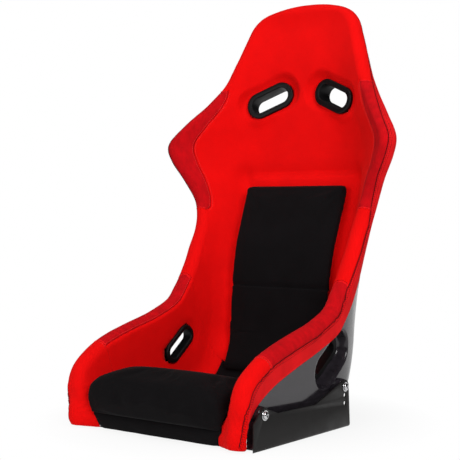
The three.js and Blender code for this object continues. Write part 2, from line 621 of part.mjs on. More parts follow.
// A slot's place: its centre on the padding, the way out towards the occupant, its long axis.
function slotPlace(u, across, face, long) {
  const s = section(u);
  const centre = toSpace(s, new THREE.Vector2(across, 0).setY(faceHeight(s, across)));
  const z = face(s).normalize();
  const x = long.clone().addScaledVector(z, -long.dot(z)).normalize();
  const y = z.clone().cross(x);
  return new THREE.Matrix4().makeBasis(x, y, z).setPosition(centre);
}

const SHOULDER_SLOT = { u: 19.3, across: 84 };
const LAP_SLOT = { u: 6.85, q: 2.46 };
const shoulderPlace = slotPlace(
  SHOULDER_SLOT.u,
  SHOULDER_SLOT.across,
  (s) => s.normal.clone().multiplyScalar(Math.cos(rad(GUIDE_TILT)))
    .addScaledVector(s.along, -Math.sin(rad(GUIDE_TILT))),
  new THREE.Vector3(Math.cos(rad(GUIDE_SLANT)), 0, -Math.sin(rad(GUIDE_SLANT))),
);
const lapSection = section(LAP_SLOT.u);
const lapPlace = slotPlace(
  LAP_SLOT.u,
  padFace(lapSection, LAP_SLOT.q).x,
  (s) => s.along.clone().multiplyScalar(-s.padOut.x).addScaledVector(s.normal, -s.padOut.y),
  new THREE.Vector3(0, Math.cos(rad(LAP_SLANT)), Math.sin(rad(LAP_SLANT))),
);

// How deep the shell's outside lies behind a slot's centre, at its deepest under the ring.
function shellDepth(place, length, width) {
  const inverse = place.clone().invert();
  let depth = 0;
  for (const s of steps(5, 21, 64).map(section)) {
    for (const q of steps(0.4, 3, 40)) {
      const p = toSpace(s, shellOuter(s, q)).applyMatrix4(inverse);
      if (Math.abs(p.x) < length / 2 && Math.abs(p.y) < width / 2 && p.z < 0 && p.z > -120) {
        depth = Math.max(depth, -p.z);
      }
    }
  }
  return depth;
}

// A guide's solids, and the cuts that it needs. Depth is from the padding to the shell's outside.
function guide(place, size, depth) {
  const seat = -RING_SINK;
  const sleeveLength = size.holeLength + 2 * SLEEVE_WALL;
  const sleeveWidth = size.holeWidth + 2 * SLEEVE_WALL;
  const rearFace = -depth - CONTACT - REAR_RING_HEIGHT;
  const put = (solid) => solid.transform([...place.elements]);
  const wider = (margin, low, high) => {
    return put(solidOf(oblongPrism(size.length + 2 * margin, size.width + 2 * margin, low, high)));
  };
  const front = ring(size.length, size.width, size.holeLength, size.holeWidth, seat, seat + RING_HEIGHT);
  const tube = solidOf(oblongPrism(sleeveLength, sleeveWidth, rearFace, seat + 1))
    .subtract(solidOf(oblongPrism(size.holeLength, size.holeWidth, rearFace - 1, seat + 2)));
  const rear = ring(size.length, size.width, sleeveLength + 2 * CONTACT, sleeveWidth + 2 * CONTACT,
    depth + CONTACT, depth + CONTACT + REAR_RING_HEIGHT).transform(halfTurn);
  const hole = oblongPrism(sleeveLength + 2 * CONTACT, sleeveWidth + 2 * CONTACT, -depth - 20, 70);
  const tub = RECESS_MARGIN + SHELL_WALL;
  const far = -160;
  return {
    front: put(front.add(tube)),
    rear: put(rear),
    hole: put(solidOf(hole)),
    pocket: wider(CONTACT, seat - CONTACT, 70),
    land: wider(5, -depth, seat - 3),
    tub: wider(tub, far, SHELL_WALL - depth),
    dish: wider(RECESS_MARGIN, far, -depth),
    nest: wider(tub + BOND_GAP, far, SHELL_WALL - depth + BOND_GAP),
  };
}

const halfTurn = [...new THREE.Matrix4().makeRotationX(Math.PI).elements];
const mirror = [...new THREE.Matrix4().makeScale(-1, 1, 1).elements];
const shoulderGuide = guide(
  shoulderPlace,
  { length: GUIDE_LENGTH, width: GUIDE_WIDTH, holeLength: GUIDE_HOLE_LENGTH, holeWidth: GUIDE_HOLE_WIDTH },
  shellDepth(shoulderPlace, GUIDE_LENGTH, GUIDE_WIDTH) + CONTACT,
);
const lapGuide = guide(
  lapPlace,
  { length: LAP_GUIDE_LENGTH, width: LAP_GUIDE_WIDTH, holeLength: LAP_HOLE_LENGTH, holeWidth: LAP_HOLE_WIDTH },
  LAP_PADDING + SHELL_WALL,
);

// ---------------------------------------------------------------- brackets and fixings
const BOLTS = { rear: REAR_BOLT, front: FRONT_BOLT };
const BRACKET_INSIDE = THIGH_CREST + THIGH_RADIUS + CONTACT; // flush with the band, plus a clearance
const BOSS_FACE = BRACKET_INSIDE - CONTACT;
const PLATE_OUTSIDE = BRACKET_INSIDE + BRACKET_PLATE;

// A cylinder along X.
function rod(radius, from, to, at, sides = 16) {
  const bar = new THREE.CylinderGeometry(radius, radius, to - from, sides);
  return solidOf(bar.rotateZ(Math.PI / 2).translate((from + to) / 2, at.y, at.z));
}

// A revolved profile of (radius, distance along X).
function turnedPart(profile, at, sides = 16) {
  const points = profile.map(([r, x]) => new THREE.Vector2(r, x));
  const body = new THREE.LatheGeometry(points, sides);
  return solidOf(body.rotateZ(-Math.PI / 2).translate(0, at.y, at.z));
}

// The bracket's side view: a low plate with an ear at each bolt, sloping up to the rear one.
function bracketOutline() {
  const shape = new THREE.Shape();
  shape.moveTo(BRACKET_FRONT, -1);
  shape.lineTo(BRACKET_REAR, -1);
  shape.lineTo(REAR_BOLT.y + EAR_RADIUS, REAR_BOLT.z);
  shape.absarc(REAR_BOLT.y, REAR_BOLT.z, EAR_RADIUS, 0, rad(118), false);
  shape.lineTo(-56, BRACKET_WAIST);
  shape.lineTo(FRONT_BOLT.y + 42, BRACKET_WAIST + 2);
  shape.absarc(FRONT_BOLT.y, FRONT_BOLT.z, EAR_RADIUS, rad(40), rad(135), false);
  shape.lineTo(BRACKET_FRONT, BRACKET_WAIST - 8);
  shape.closePath();
  return shape;
}

function bracket() {
  const [low, high] = [BRACKET_FRONT - 2, BRACKET_REAR + 2];
  const out = PLATE_OUTSIDE;
  const inner = BRACKET_BEND - BRACKET_PLATE;
  const angle = new THREE.Shape();
  angle.moveTo(out - BRACKET_FOOT, 0);
  angle.lineTo(out - BRACKET_BEND, 0);
  angle.absarc(out - BRACKET_BEND, BRACKET_BEND, BRACKET_BEND, -Math.PI / 2, 0, false);
  angle.lineTo(out, REAR_BOLT.z + 2 * EAR_RADIUS);
  angle.lineTo(out - BRACKET_PLATE, REAR_BOLT.z + 2 * EAR_RADIUS);
  angle.lineTo(out - BRACKET_PLATE, BRACKET_BEND);
  angle.absarc(out - BRACKET_BEND, BRACKET_BEND, inner, 0, -Math.PI / 2, true);
  angle.lineTo(out - BRACKET_FOOT, BRACKET_PLATE);
  angle.closePath();
  const bar = { depth: high - low, bevelEnabled: false, curveSegments: 4 };
  const length = new THREE.ExtrudeGeometry(angle, bar).rotateX(Math.PI / 2).translate(0, high, 0);
  const missing = new THREE.BoxGeometry(2 * BRACKET_FOOT, FOOT_FRONT - low + 1, 40)
    .translate(BRACKET_INSIDE - BRACKET_FOOT, (FOOT_FRONT + low - 1) / 2, 0);
  const across = { depth: BRACKET_FOOT + 8, bevelEnabled: false, curveSegments: 8 };
  const stand = new THREE.Matrix4().makeBasis(
    new THREE.Vector3(0, 1, 0), new THREE.Vector3(0, 0, 1), new THREE.Vector3(1, 0, 0));
  stand.setPosition(out - BRACKET_FOOT - 4, 0, 0);
  const outline = new THREE.ExtrudeGeometry(bracketOutline(), across).applyMatrix4(stand);
  let body = solidOf(length).intersect(solidOf(outline)).subtract(solidOf(missing));
  const holes = [REAR_BOLT, FRONT_BOLT];
  for (let i = 1; i <= HEIGHT_HOLES; i++) {
    holes.push({ y: REAR_BOLT.y, z: REAR_BOLT.z - i * HEIGHT_STEP });
  }
  for (const at of holes) {
    body = body.subtract(rod(BOLT_RADIUS + BOLT_CLEARANCE, BRACKET_INSIDE - 5, out + 5, at));
  }
  for (const y of FOOT_SLOTS) {
    const slot = oblongPrism(FOOT_SLOT_LENGTH, FOOT_SLOT_WIDTH, -2, BRACKET_PLATE + 2);
    const middle = out - (BRACKET_FOOT + BRACKET_BEND) / 2;
    body = body.subtract(solidOf(slot.rotateZ(Math.PI / 2).translate(middle, y, 0)));
  }
  return body;
}

// A button-head screw with its socket, outside the washer.
function bolt(at) {
  const seat = PLATE_OUTSIDE + WASHER_THICK + 2 * CONTACT;
  const end = BOSS_FACE - BOLT_REACH;
  const profile = [[0, end], [BOLT_RADIUS - 1, end], [BOLT_RADIUS, end + 1], [BOLT_RADIUS, seat],
    [BOLT_HEAD_RADIUS, seat], [BOLT_HEAD_RADIUS, seat + 1.2]];
  for (const angle of [25, 50, 70]) {
    const r = BOLT_HEAD_RADIUS * Math.cos(rad(angle));
    profile.push([r, seat + 1.2 + (BOLT_HEAD_HEIGHT - 1.2) * Math.sin(rad(angle))]);
  }
  profile.push([0, seat + BOLT_HEAD_HEIGHT]);
  const top = seat + BOLT_HEAD_HEIGHT;
  return turnedPart(profile, at).subtract(rod(SOCKET_RADIUS, top - SOCKET_DEPTH, top + 2, at, 6));
}

// A flat ring: outer and inner radius, from one X to another.
function collar(outer, inner, from, to, at) {
  return turnedPart([[inner, from], [outer, from], [outer, to], [inner, to], [inner, from]], at);
}

const washer = (at) => collar(WASHER_RADIUS, BOLT_RADIUS + BOLT_CLEARANCE,
  PLATE_OUTSIDE + CONTACT, PLATE_OUTSIDE + CONTACT + WASHER_THICK, at);
const insert = (at) => collar(INSERT_RADIUS, BOLT_RADIUS + CONTACT,
  BOSS_FACE - INSERT_LENGTH, BOSS_FACE - CONTACT, at);

// ---------------------------------------------------------------- the shell with its pads and cuts
function shell() {
  let pads = shoulderGuide.land;
  for (const at of Object.values(BOLTS)) {
    pads = pads.add(rod(BOSS_RADIUS, PAN_FLOOR - 30, BOSS_FACE, at, 32));
  }
  const skirt = new THREE.BoxGeometry(BOSS_FACE - SKIRT.inside, SKIRT.rear - SKIRT.front, SKIRT.high - SKIRT.low)
    .translate((BOSS_FACE + SKIRT.inside) / 2, (SKIRT.rear + SKIRT.front) / 2, (SKIRT.high + SKIRT.low) / 2);
  pads = pads.add(solidOf(skirt));
  const room = shellRoom();
  pads = pads.subtract(room).add(lapGuide.tub.intersect(room));
  let body = shellBody().add(pads).add(pads.transform(mirror));
  body = body.subtract(lapGuide.dish).subtract(lapGuide.dish.transform(mirror));
  for (const at of Object.values(BOLTS)) {
    const socket = rod(INSERT_RADIUS + CONTACT, BOSS_FACE - INSERT_LENGTH - 1.5, BOSS_FACE + 5, at);
    body = body.subtract(socket).subtract(socket.transform(mirror));
  }
  for (const { hole } of [shoulderGuide, lapGuide]) {
    body = body.subtract(hole).subtract(hole.transform(mirror));
  }
  return body;
}

// ---------------------------------------------------------------- materials
const finish = (color, roughness, metalness = 0) => new THREE.MeshStandardMaterial({ color, roughness, metalness });
const FINISH = {
  redFabric: finish(0xe8120e, 0.85),
  redTrim: finish(0xbe0a10, 0.95),
  redBand: finish(0xe02028, 0.85),
  blackFabric: finish(0x17120f, 0.95),
  strip: finish(0x1b1b1c, 1),
  laminate: finish(0x1a181c, 0.15),
  plastic: finish(0x141414, 0.45),
  steelPlate: finish(0x262422, 0.55, 0.6),
  bright: finish(0xb9bbc0, 0.28, 1),
  brass: finish(0xb08d3c, 0.35, 1),
};

// ---------------------------------------------------------------- the assembly
const seat = new THREE.Group();
const root = new THREE.Group();
seat.add(root);

function add(name, solid, material) {
  const mesh = new THREE.Mesh(geometryOf(solid), material);
  mesh.name = name;
  root.add(mesh);
}

// A piece on the occupant's left, and its mirror image on the right.
function addPair(name, solid, material) {
  add('left_' + name, solid, material);
  add('right_' + name, solid.transform(mirror), material);
}

const whole = (half) => half.plus(half.mirrored()).solid();

add('seat_shell', shell(), FINISH.laminate);
add('pan_cover', whole(panPanel), FINISH.blackFabric);
const backCut = whole(backPanel)
  .subtract(shoulderGuide.pocket).subtract(shoulderGuide.pocket.transform(mirror))
  .subtract(shoulderGuide.hole).subtract(shoulderGuide.hole.transform(mirror));
add('back_cover', backCut, FINISH.redFabric);
add('upper_rim_band', whole(upperBand), FINISH.redBand);
addPair('nose_cover', nosePanel.solid(), FINISH.redFabric);
const lapCut = (solid) => solid.subtract(lapGuide.nest).subtract(lapGuide.pocket).subtract(lapGuide.hole);
addPair('side_cover', lapCut(sidePanel.solid()), FINISH.redFabric);
addPair('thigh_trim', thighPanel.solid(), FINISH.redTrim);
addPair('wing_trim', wingPanel.solid(), FINISH.redTrim);
addPair('lower_rim_band', lowerBand.solid(), FINISH.redBand);
add('seat_cushion', seatCushion(), FINISH.blackFabric);
add('back_cushion', backCushion(), FINISH.blackFabric);
addPair('seat_hook_strip', strip(3.5, 6, 0).solid(), FINISH.strip);
addPair('seat_loop_strip', strip(3.5, 6, 1).solid(), FINISH.strip);
addPair('back_hook_strip', strip(10, 13, 0).solid(), FINISH.strip);
addPair('back_loop_strip', strip(10, 13, 1).solid(), FINISH.strip);
addPair('shoulder_guide', shoulderGuide.front, FINISH.plastic);
addPair('shoulder_guide_rear_ring', shoulderGuide.rear, FINISH.plastic);
addPair('lap_guide', lapGuide.front, FINISH.plastic);
addPair('lap_guide_outer_ring', lapGuide.rear, FINISH.plastic);
addPair('side_bracket', bracket(), FINISH.steelPlate);
for (const [name, at] of Object.entries(BOLTS)) {
  addPair(name + '_bolt', bolt(at), FINISH.bright);
  addPair(name + '_washer', washer(at), FINISH.bright);
  addPair(name + '_insert', insert(at), FINISH.brass);
}

// The frame's origin is the middle of the footprint.
const footprint = new THREE.Box3().setFromObject(root);
root.position.y = -(footprint.min.y + footprint.max.y) / 2;

export default seat;
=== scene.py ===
"""Dressed model of a fixed-back racing seat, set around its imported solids.

The covers are lofted from the same stations as the solids, pulled down at the seams, stitched and
puckered. The seat cushion and the back cushion are inflated as cloth. Lengths are metres and +X is the
occupant's left.
"""
import logging
import math
from dataclasses import dataclass, field
from enum import Enum
from functools import lru_cache
from typing import Callable, Iterable, Optional, Sequence

import bmesh
import bpy
import numpy as np
from mathutils import Matrix, Vector, kdtree, noise
from mathutils.bvhtree import BVHTree


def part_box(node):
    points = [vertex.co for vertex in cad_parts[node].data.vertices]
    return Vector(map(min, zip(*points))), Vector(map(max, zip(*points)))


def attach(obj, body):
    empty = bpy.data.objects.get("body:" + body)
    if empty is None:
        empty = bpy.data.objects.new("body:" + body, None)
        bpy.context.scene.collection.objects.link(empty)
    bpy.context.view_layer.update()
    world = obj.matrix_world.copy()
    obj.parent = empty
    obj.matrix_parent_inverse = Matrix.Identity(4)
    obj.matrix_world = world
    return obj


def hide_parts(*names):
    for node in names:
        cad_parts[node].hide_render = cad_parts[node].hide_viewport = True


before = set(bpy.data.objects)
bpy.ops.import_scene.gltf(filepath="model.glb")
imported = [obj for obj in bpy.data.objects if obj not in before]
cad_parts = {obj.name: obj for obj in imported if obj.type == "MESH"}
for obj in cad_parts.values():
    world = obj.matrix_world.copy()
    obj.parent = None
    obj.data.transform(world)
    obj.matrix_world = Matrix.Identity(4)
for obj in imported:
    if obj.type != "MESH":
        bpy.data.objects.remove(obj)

LOG = logging.getLogger("racing_seat")
MM = 0.001
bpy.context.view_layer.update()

Point = tuple[float, float]
Edge = Callable[[float], float]  # a column for each station


# ------------------------------------------------------------------ driving sizes, in millimetres
PAN_FLOOR = 206
BACK_FLOOR = 173
NECK_FLOOR = 124
THIGH_CREST = 203
WAIST_CREST = 205
WING_CREST = 275
HEAD_CREST = 134
THIGH_RADIUS = 22
WING_RADIUS = 18
LIP_HEIGHT = 40
PAN_HEIGHT = 26
WING_HEIGHT = 578
HEAD_HEIGHT = 866
WING_FORWARD = 132
PAN_PADDING = 9
BACK_PADDING = 12
LUMBAR_PADDING = 48
HEAD_PADDING = 40
BOLSTER_FOOT = 36
HIP_FOOT = 28
BACK_FOOT = 16
BAND_LENGTH = 30
NOSE_BAND = 11
BRACKET_FRONT = -254

# Each station: the spine on the shell's inner face (y, z), the floor's half width and corner radius,
# the crest's centre (cx, cy, cz) and radius, the padding on the centre line and at the wall's foot, and
# how far the band wraps down outside.
STATIONS: list[list[float]] = [
    # the lip's underside, then up over the lip and back along the pan
    [-244, 1.5, PAN_FLOOR - 44, 18, THIGH_CREST - 8, -264, 4,
     THIGH_RADIUS - 2, PAN_PADDING, 36, NOSE_BAND],
    [-257, 20, PAN_FLOOR - 30, 24, THIGH_CREST - 3, -265, 37,
     THIGH_RADIUS - 1, PAN_PADDING, 40, NOSE_BAND],
    [-242, LIP_HEIGHT, PAN_FLOOR - 12, 30, THIGH_CREST, -262, 74,
     THIGH_RADIUS, PAN_PADDING, BOLSTER_FOOT, 23],
    [-212, 44, PAN_FLOOR - 3, 34, THIGH_CREST, -243, 112,
     THIGH_RADIUS, PAN_PADDING, BOLSTER_FOOT, 31],
    [-165, 40, PAN_FLOOR, 38, THIGH_CREST, -188, 147, THIGH_RADIUS, PAN_PADDING, BOLSTER_FOOT, 36],
    [-100, 33, PAN_FLOOR, 40, THIGH_CREST, -112, 171, THIGH_RADIUS, PAN_PADDING, BOLSTER_FOOT, 34],
    [-30, 28, PAN_FLOOR, 42, THIGH_CREST, -40, 189,
     THIGH_RADIUS, PAN_PADDING, BOLSTER_FOOT, BAND_LENGTH],
    [40, PAN_HEIGHT, PAN_FLOOR, 48, THIGH_CREST, 28, 215,
     THIGH_RADIUS, PAN_PADDING, BOLSTER_FOOT, BAND_LENGTH],
    # round the hip corner
    [98, 38, PAN_FLOOR - 6, 58, THIGH_CREST, 60, 246,
     THIGH_RADIUS, PAN_PADDING + 3, 34, BAND_LENGTH],
    [142, 84, BACK_FLOOR + 14, 70, THIGH_CREST, 82, 274,
     THIGH_RADIUS, LUMBAR_PADDING - 20, HIP_FOOT, BAND_LENGTH],
    # up the back
    [164, 150, BACK_FLOOR + 4, 76, THIGH_CREST, 100, 302,
     THIGH_RADIUS, LUMBAR_PADDING - 5, 24, BAND_LENGTH],
    [178, 220, BACK_FLOOR, 74, WAIST_CREST, 118, 336, 21, LUMBAR_PADDING, 20, BAND_LENGTH],
    [196, 290, BACK_FLOOR, 66, WAIST_CREST, 138, 374,
     20, LUMBAR_PADDING - 2, BACK_FOOT, BAND_LENGTH],
    [216, 360, BACK_FLOOR - 1, 60, WAIST_CREST + 5, 152, 412,
     19, BACK_PADDING + 22, BACK_FOOT, BAND_LENGTH],
    [233, 425, BACK_FLOOR - 4, 56, WAIST_CREST + 15, 157, 450,
     WING_RADIUS, BACK_PADDING + 13, BACK_FOOT, BAND_LENGTH],
    [243, 480, BACK_FLOOR - 8, 56, WING_CREST - 33, 145, 496,
     WING_RADIUS, BACK_PADDING + 6, BACK_FOOT, BAND_LENGTH],
    [247, 530, BACK_FLOOR - 13, 60, WING_CREST - 7, 133, 540,
     WING_RADIUS, BACK_PADDING + 1, BACK_FOOT, BAND_LENGTH],
    [248, 575, BACK_FLOOR - 21, 62, WING_CREST, WING_FORWARD, WING_HEIGHT,
     WING_RADIUS, BACK_PADDING, BACK_FOOT, BAND_LENGTH],
    [247, 620, NECK_FLOOR + 16, 60, WING_CREST - 31, 155, WING_HEIGHT + 44,
     WING_RADIUS, BACK_PADDING, BACK_FOOT, BAND_LENGTH],
    [248, 660, NECK_FLOOR, 54, HEAD_CREST + 70, 190, 668,
     WING_RADIUS, BACK_PADDING + 1, BACK_FOOT, BAND_LENGTH],
    [254, 705, NECK_FLOOR - 16, 48, HEAD_CREST + 40, 213, 710, WING_RADIUS, 19, BACK_FOOT, 28],
    [264, 755, NECK_FLOOR - 26, 44, HEAD_CREST + 20, 226, 757, WING_RADIUS, 31, 14, 26],
    # from here the sections fan round one point, up and over the head
    [277, 800, NECK_FLOOR - 38, 40, HEAD_CREST, 240, 806, WING_RADIUS, HEAD_PADDING, 12, 24],
    [277, 800, 78, 36, HEAD_CREST - 16, 248, HEAD_HEIGHT - 28, WING_RADIUS, HEAD_PADDING, 12, 24],
    [277, 800, 66, 30, HEAD_CREST - 42, 253, HEAD_HEIGHT - 9, WING_RADIUS, HEAD_PADDING, 12, 24],
    [277, 800, 50, 24, HEAD_CREST - 84, 256, HEAD_HEIGHT - 1, WING_RADIUS, HEAD_PADDING, 12, 24],
    [277, 800, 40, 22, 0, 257, HEAD_HEIGHT, WING_RADIUS, HEAD_PADDING, 12, 24],
]
FAN = 22
TOP = len(STATIONS) - 1
CREST_X = 4

NOSE_SEAM = 3.9
HIP_SEAM = 8.7
TRIM_START = 13.35
TRIM_END = 19.7
PAN_SEAM = 1.35
CREST_SEAM = 3.15
BAND_SEAM = 3.78
THIGH_SEAM_OUT = 0.22
WING_SEAM_IN = 0.34
BAND_END = 5.0
TRIM_DEPTH = 40 * MM

SHELL_WALL = 4.5 * MM
BOND_GAP = 1.5 * MM
BAND_PADDING = 3 * MM
BAND_HEM = 1.8 * MM
HEM_EASE = 0.8 * MM

# The solids are centred on their footprint, which moves the whole seat a little along Y.
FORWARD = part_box("left_side_bracket")[0].y - BRACKET_FRONT * MM


def lerp(a: float, b: float, t: float) -> float:
    """Value between a and b at share t."""
    return a + (b - a) * t


def smoothstep(t: float) -> float:
    """Smooth rise from 0 to 1 for t from 0 to 1."""
    t = min(1.0, max(0.0, t))
    return t * t * (3 - 2 * t)


def turned(vector: np.ndarray, angle: float) -> np.ndarray:
    """Unit vector along a 2-D vector turned by an angle."""
    unit = vector / np.linalg.norm(vector)
    c, s = math.cos(angle), math.sin(angle)
    return np.array([c * unit[0] - s * unit[1], s * unit[0] + c * unit[1]])


def trough(start: np.ndarray, knee: np.ndarray, top: np.ndarray, corner: float, q: float) -> np.ndarray:
    """Point on a floor, a rounded corner and a wall.

    Args:
        start: Floor's point on the centre line.
        knee: Where floor and wall would meet without the corner.
        top: Wall's upper end.
        corner: Corner's length on each leg.
        q: 0 to 1 along the floor, 1 to 2 round the corner, 2 to 3 up the wall.

    Returns:
        Point in the section's plane.
    """
    wall = top - knee
    length = float(np.linalg.norm(wall))
    turn = min(corner, length * 0.6, knee[0] * 0.8)
    before = np.array([knee[0] - turn, knee[1]])
    after = knee + wall / length * turn
    if q <= 1:
        return start + (before - start) * q
    if q <= 2:
        t = q - 1
        a = before + (knee - before) * t
        b = knee + (after - knee) * t
        return a + (b - a) * t
    return after + (top - after) * (q - 2)


@lru_cache(maxsize=None)
def station_at(u: float) -> tuple[float, ...]:
    """Smooth curve through the stations, mirrored past the last one, with lengths in metres."""
    i = min(int(math.floor(u)), TOP - 1)
    t = u - i

    def get(k: int, c: int) -> float:
        """A station's value, carried on past both ends of the table."""
        if k < 0:
            return 2 * STATIONS[0][c] - STATIONS[1][c]
        if k <= TOP:
            return STATIONS[k][c]
        return STATIONS[2 * TOP - k][c] * (-1 if c == CREST_X else 1)

    row = []
    for c in range(len(STATIONS[0])):
        a, b, d, e = get(i - 1, c), get(i, c), get(i + 1, c), get(i + 2, c)
        bend = (2 * a - 5 * b + 4 * d - e) * t * t + (-a + 3 * b - 3 * d + e) * t**3
        row.append(0.5 * (2 * b + (d - a) * t + bend) * MM)
    return tuple(row)


class Section:
    """One section through the seat, across its length.

    Points in it are (along the floor, off the floor). A negative column stands for the right side.
    """

    def __init__(self, u: float) -> None:
        """Works out the section's frame, shell line and padding line at station u."""
        y, z, floor, corner, cx, cy, cz, radius, thick, foot, band = station_at(u)
        fan = u >= FAN
        pole = [value * MM for value in STATIONS[FAN]]
        self.origin = np.array([0.0, pole[0] if fan else y, pole[1] if fan else z])
        to_crest = np.array([cx, cy, cz]) - self.origin
        if fan:
            normal = np.array([0.0, pole[5] - pole[0], pole[6] - pole[1]])
        else:
            normal = np.array([0.0, to_crest[1], to_crest[2]])
        self.normal = normal / np.linalg.norm(normal)
        height = float(to_crest @ self.normal)
        along = to_crest - self.normal * height
        reach = float(np.linalg.norm(along))
        self.along = along / reach
        self.padding = HEAD_PADDING * MM if fan else thick
        self.corner, self.radius, self.band = corner, radius, band
        self.knee = np.array([floor, 0.0])
        self.centre = np.array([reach, height])
        inset = radius - SHELL_WALL - BOND_GAP - BAND_PADDING
        to_knee = self.centre - self.knee
        self.wall = turned(to_knee, -math.asin(inset / np.linalg.norm(to_knee)))
        self.out = np.array([self.wall[1], -self.wall[0]])
        self.rim = self.centre + self.out * inset
        self.pad_knee = np.array([floor - foot * max(0.3, self.out[0]), self.padding])
        to_pad_knee = self.centre - self.pad_knee
        lean = math.asin(min(0.9, radius / np.linalg.norm(to_pad_knee)))
        self.pad_wall = turned(to_pad_knee, lean)
        self.pad_out = np.array([self.pad_wall[1], -self.pad_wall[0]])
        self.pad_rim = self.centre - self.pad_out * radius

    def shell_line(self, q: float) -> np.ndarray:
        """Point on the shell's inner face."""
        return trough(np.zeros(2), self.knee, self.rim, self.corner, q)

    def shell_normal(self, q: float) -> np.ndarray:
        """Direction off the shell's inner face, towards the occupant."""
        step = 0.02
        tangent = self.shell_line(min(3, q + step)) - self.shell_line(max(0, q - step))
        tangent = tangent / np.linalg.norm(tangent)
        return np.array([-tangent[1], tangent[0]])

    def pad_under(self, q: float) -> np.ndarray:
        """Point on the padding's back, from the centre line over the shell's rim and down outside."""
        if q <= 3:
            return self.shell_line(q) + self.shell_normal(q) * BOND_GAP
        middle = self.rim + self.out * (SHELL_WALL / 2)
        bend = SHELL_WALL / 2 + BOND_GAP
        angle = math.pi * (1 - min(q - 3, 1))
        middle = middle + self.out * (bend * math.cos(angle)) + self.wall * (bend * math.sin(angle))
        down = max(0.0, q - 4)
        return middle - self.wall * (self.band * down) + self.out * (HEM_EASE * down)

    def pad_face(self, q: float) -> np.ndarray:
        """Point on the padding's face, from the centre line over the crest and down the band."""
        if q <= 3:
            start = np.array([0.0, self.padding])
            return trough(start, self.pad_knee, self.pad_rim, self.corner * 0.9, q)
        if q <= 4:
            first = math.atan2(-self.pad_out[1], -self.pad_out[0])
            first += 2 * math.pi if first < 0 else 0
            angle = lerp(first, math.atan2(self.out[1], self.out[0]), q - 3)
            return self.centre + np.array([math.cos(angle), math.sin(angle)]) * self.radius
        thin = (BAND_PADDING - BAND_HEM) * (q - 4)
        edge = self.centre + self.out * (self.radius - thin)
        return edge - self.wall * (self.band * (q - 4))

    def space(self, point: np.ndarray, mirrored: bool = False) -> np.ndarray:
        """Point of the section's plane in the seat's frame."""
        p = self.origin + self.along * point[0] + self.normal * point[1]
        return np.array([-p[0] if mirrored else p[0], p[1] + FORWARD, p[2]])


@lru_cache(maxsize=None)
def section(u: float) -> Section:
    """Section at station u, kept so that each is worked out once."""
    return Section(u)


def face(u: float, q: float) -> np.ndarray:
    """Padding's face in the seat's frame; a negative q is on the right."""
    return section(u).space(section(u).pad_face(abs(q)), q < 0)


def under(u: float, q: float) -> np.ndarray:
    """Padding's back in the seat's frame; a negative q is on the right."""
    return section(u).space(section(u).pad_under(abs(q)), q < 0)


def band_seam(u: float) -> float:
    """Seam between the covers and the band: lower along the thighs, further in over the wings."""
    def swell(start: float, end: float) -> float:
        """Rises from 0 to 1 between two stations and falls again."""
        return math.sin(math.pi * min(1.0, max(0.0, (u - start) / (end - start))))

    wing = WING_SEAM_IN * max(0.0, swell(12.6, 21)) ** 0.7
    return BAND_SEAM + THIGH_SEAM_OUT * swell(1.5, 8.5) - wing


def stitched_line(u: float) -> float:
    """Where the sewing beside the band runs: on its seam, but over the front of the nose below it."""
    return lerp(3.45, band_seam(u), smoothstep((u - 0.8) / 1.8))


def trim_edge(u: float) -> float:
    """Inner edge of the wing trim: on the crest at both ends, swelling inwards between them."""
    t = min(1.0, max(0.0, (u - TRIM_START) / (TRIM_END - TRIM_START)))
    s = section(u)
    wall = float(np.linalg.norm(s.pad_rim - s.pad_knee)) - s.corner * 0.9
    return 3 - (TRIM_DEPTH / wall) * max(0.0, math.sin(math.pi * t)) ** 0.8


def spread(count: int, start: float, end: float, pinch: float = 0.0) -> list[float]:
    """Values from start to end, closer together near both ends by the pinch, 0 to 1."""
    values = []
    for k in range(count + 1):
        t = k / count
        t -= pinch * math.sin(2 * math.pi * t) / (2 * math.pi)
        values.append(lerp(start, end, t))
    return values


# ------------------------------------------------------------------ finishes
Colour = tuple[float, float, float]
PLAIN = (1.0, 1.0, 1.0)


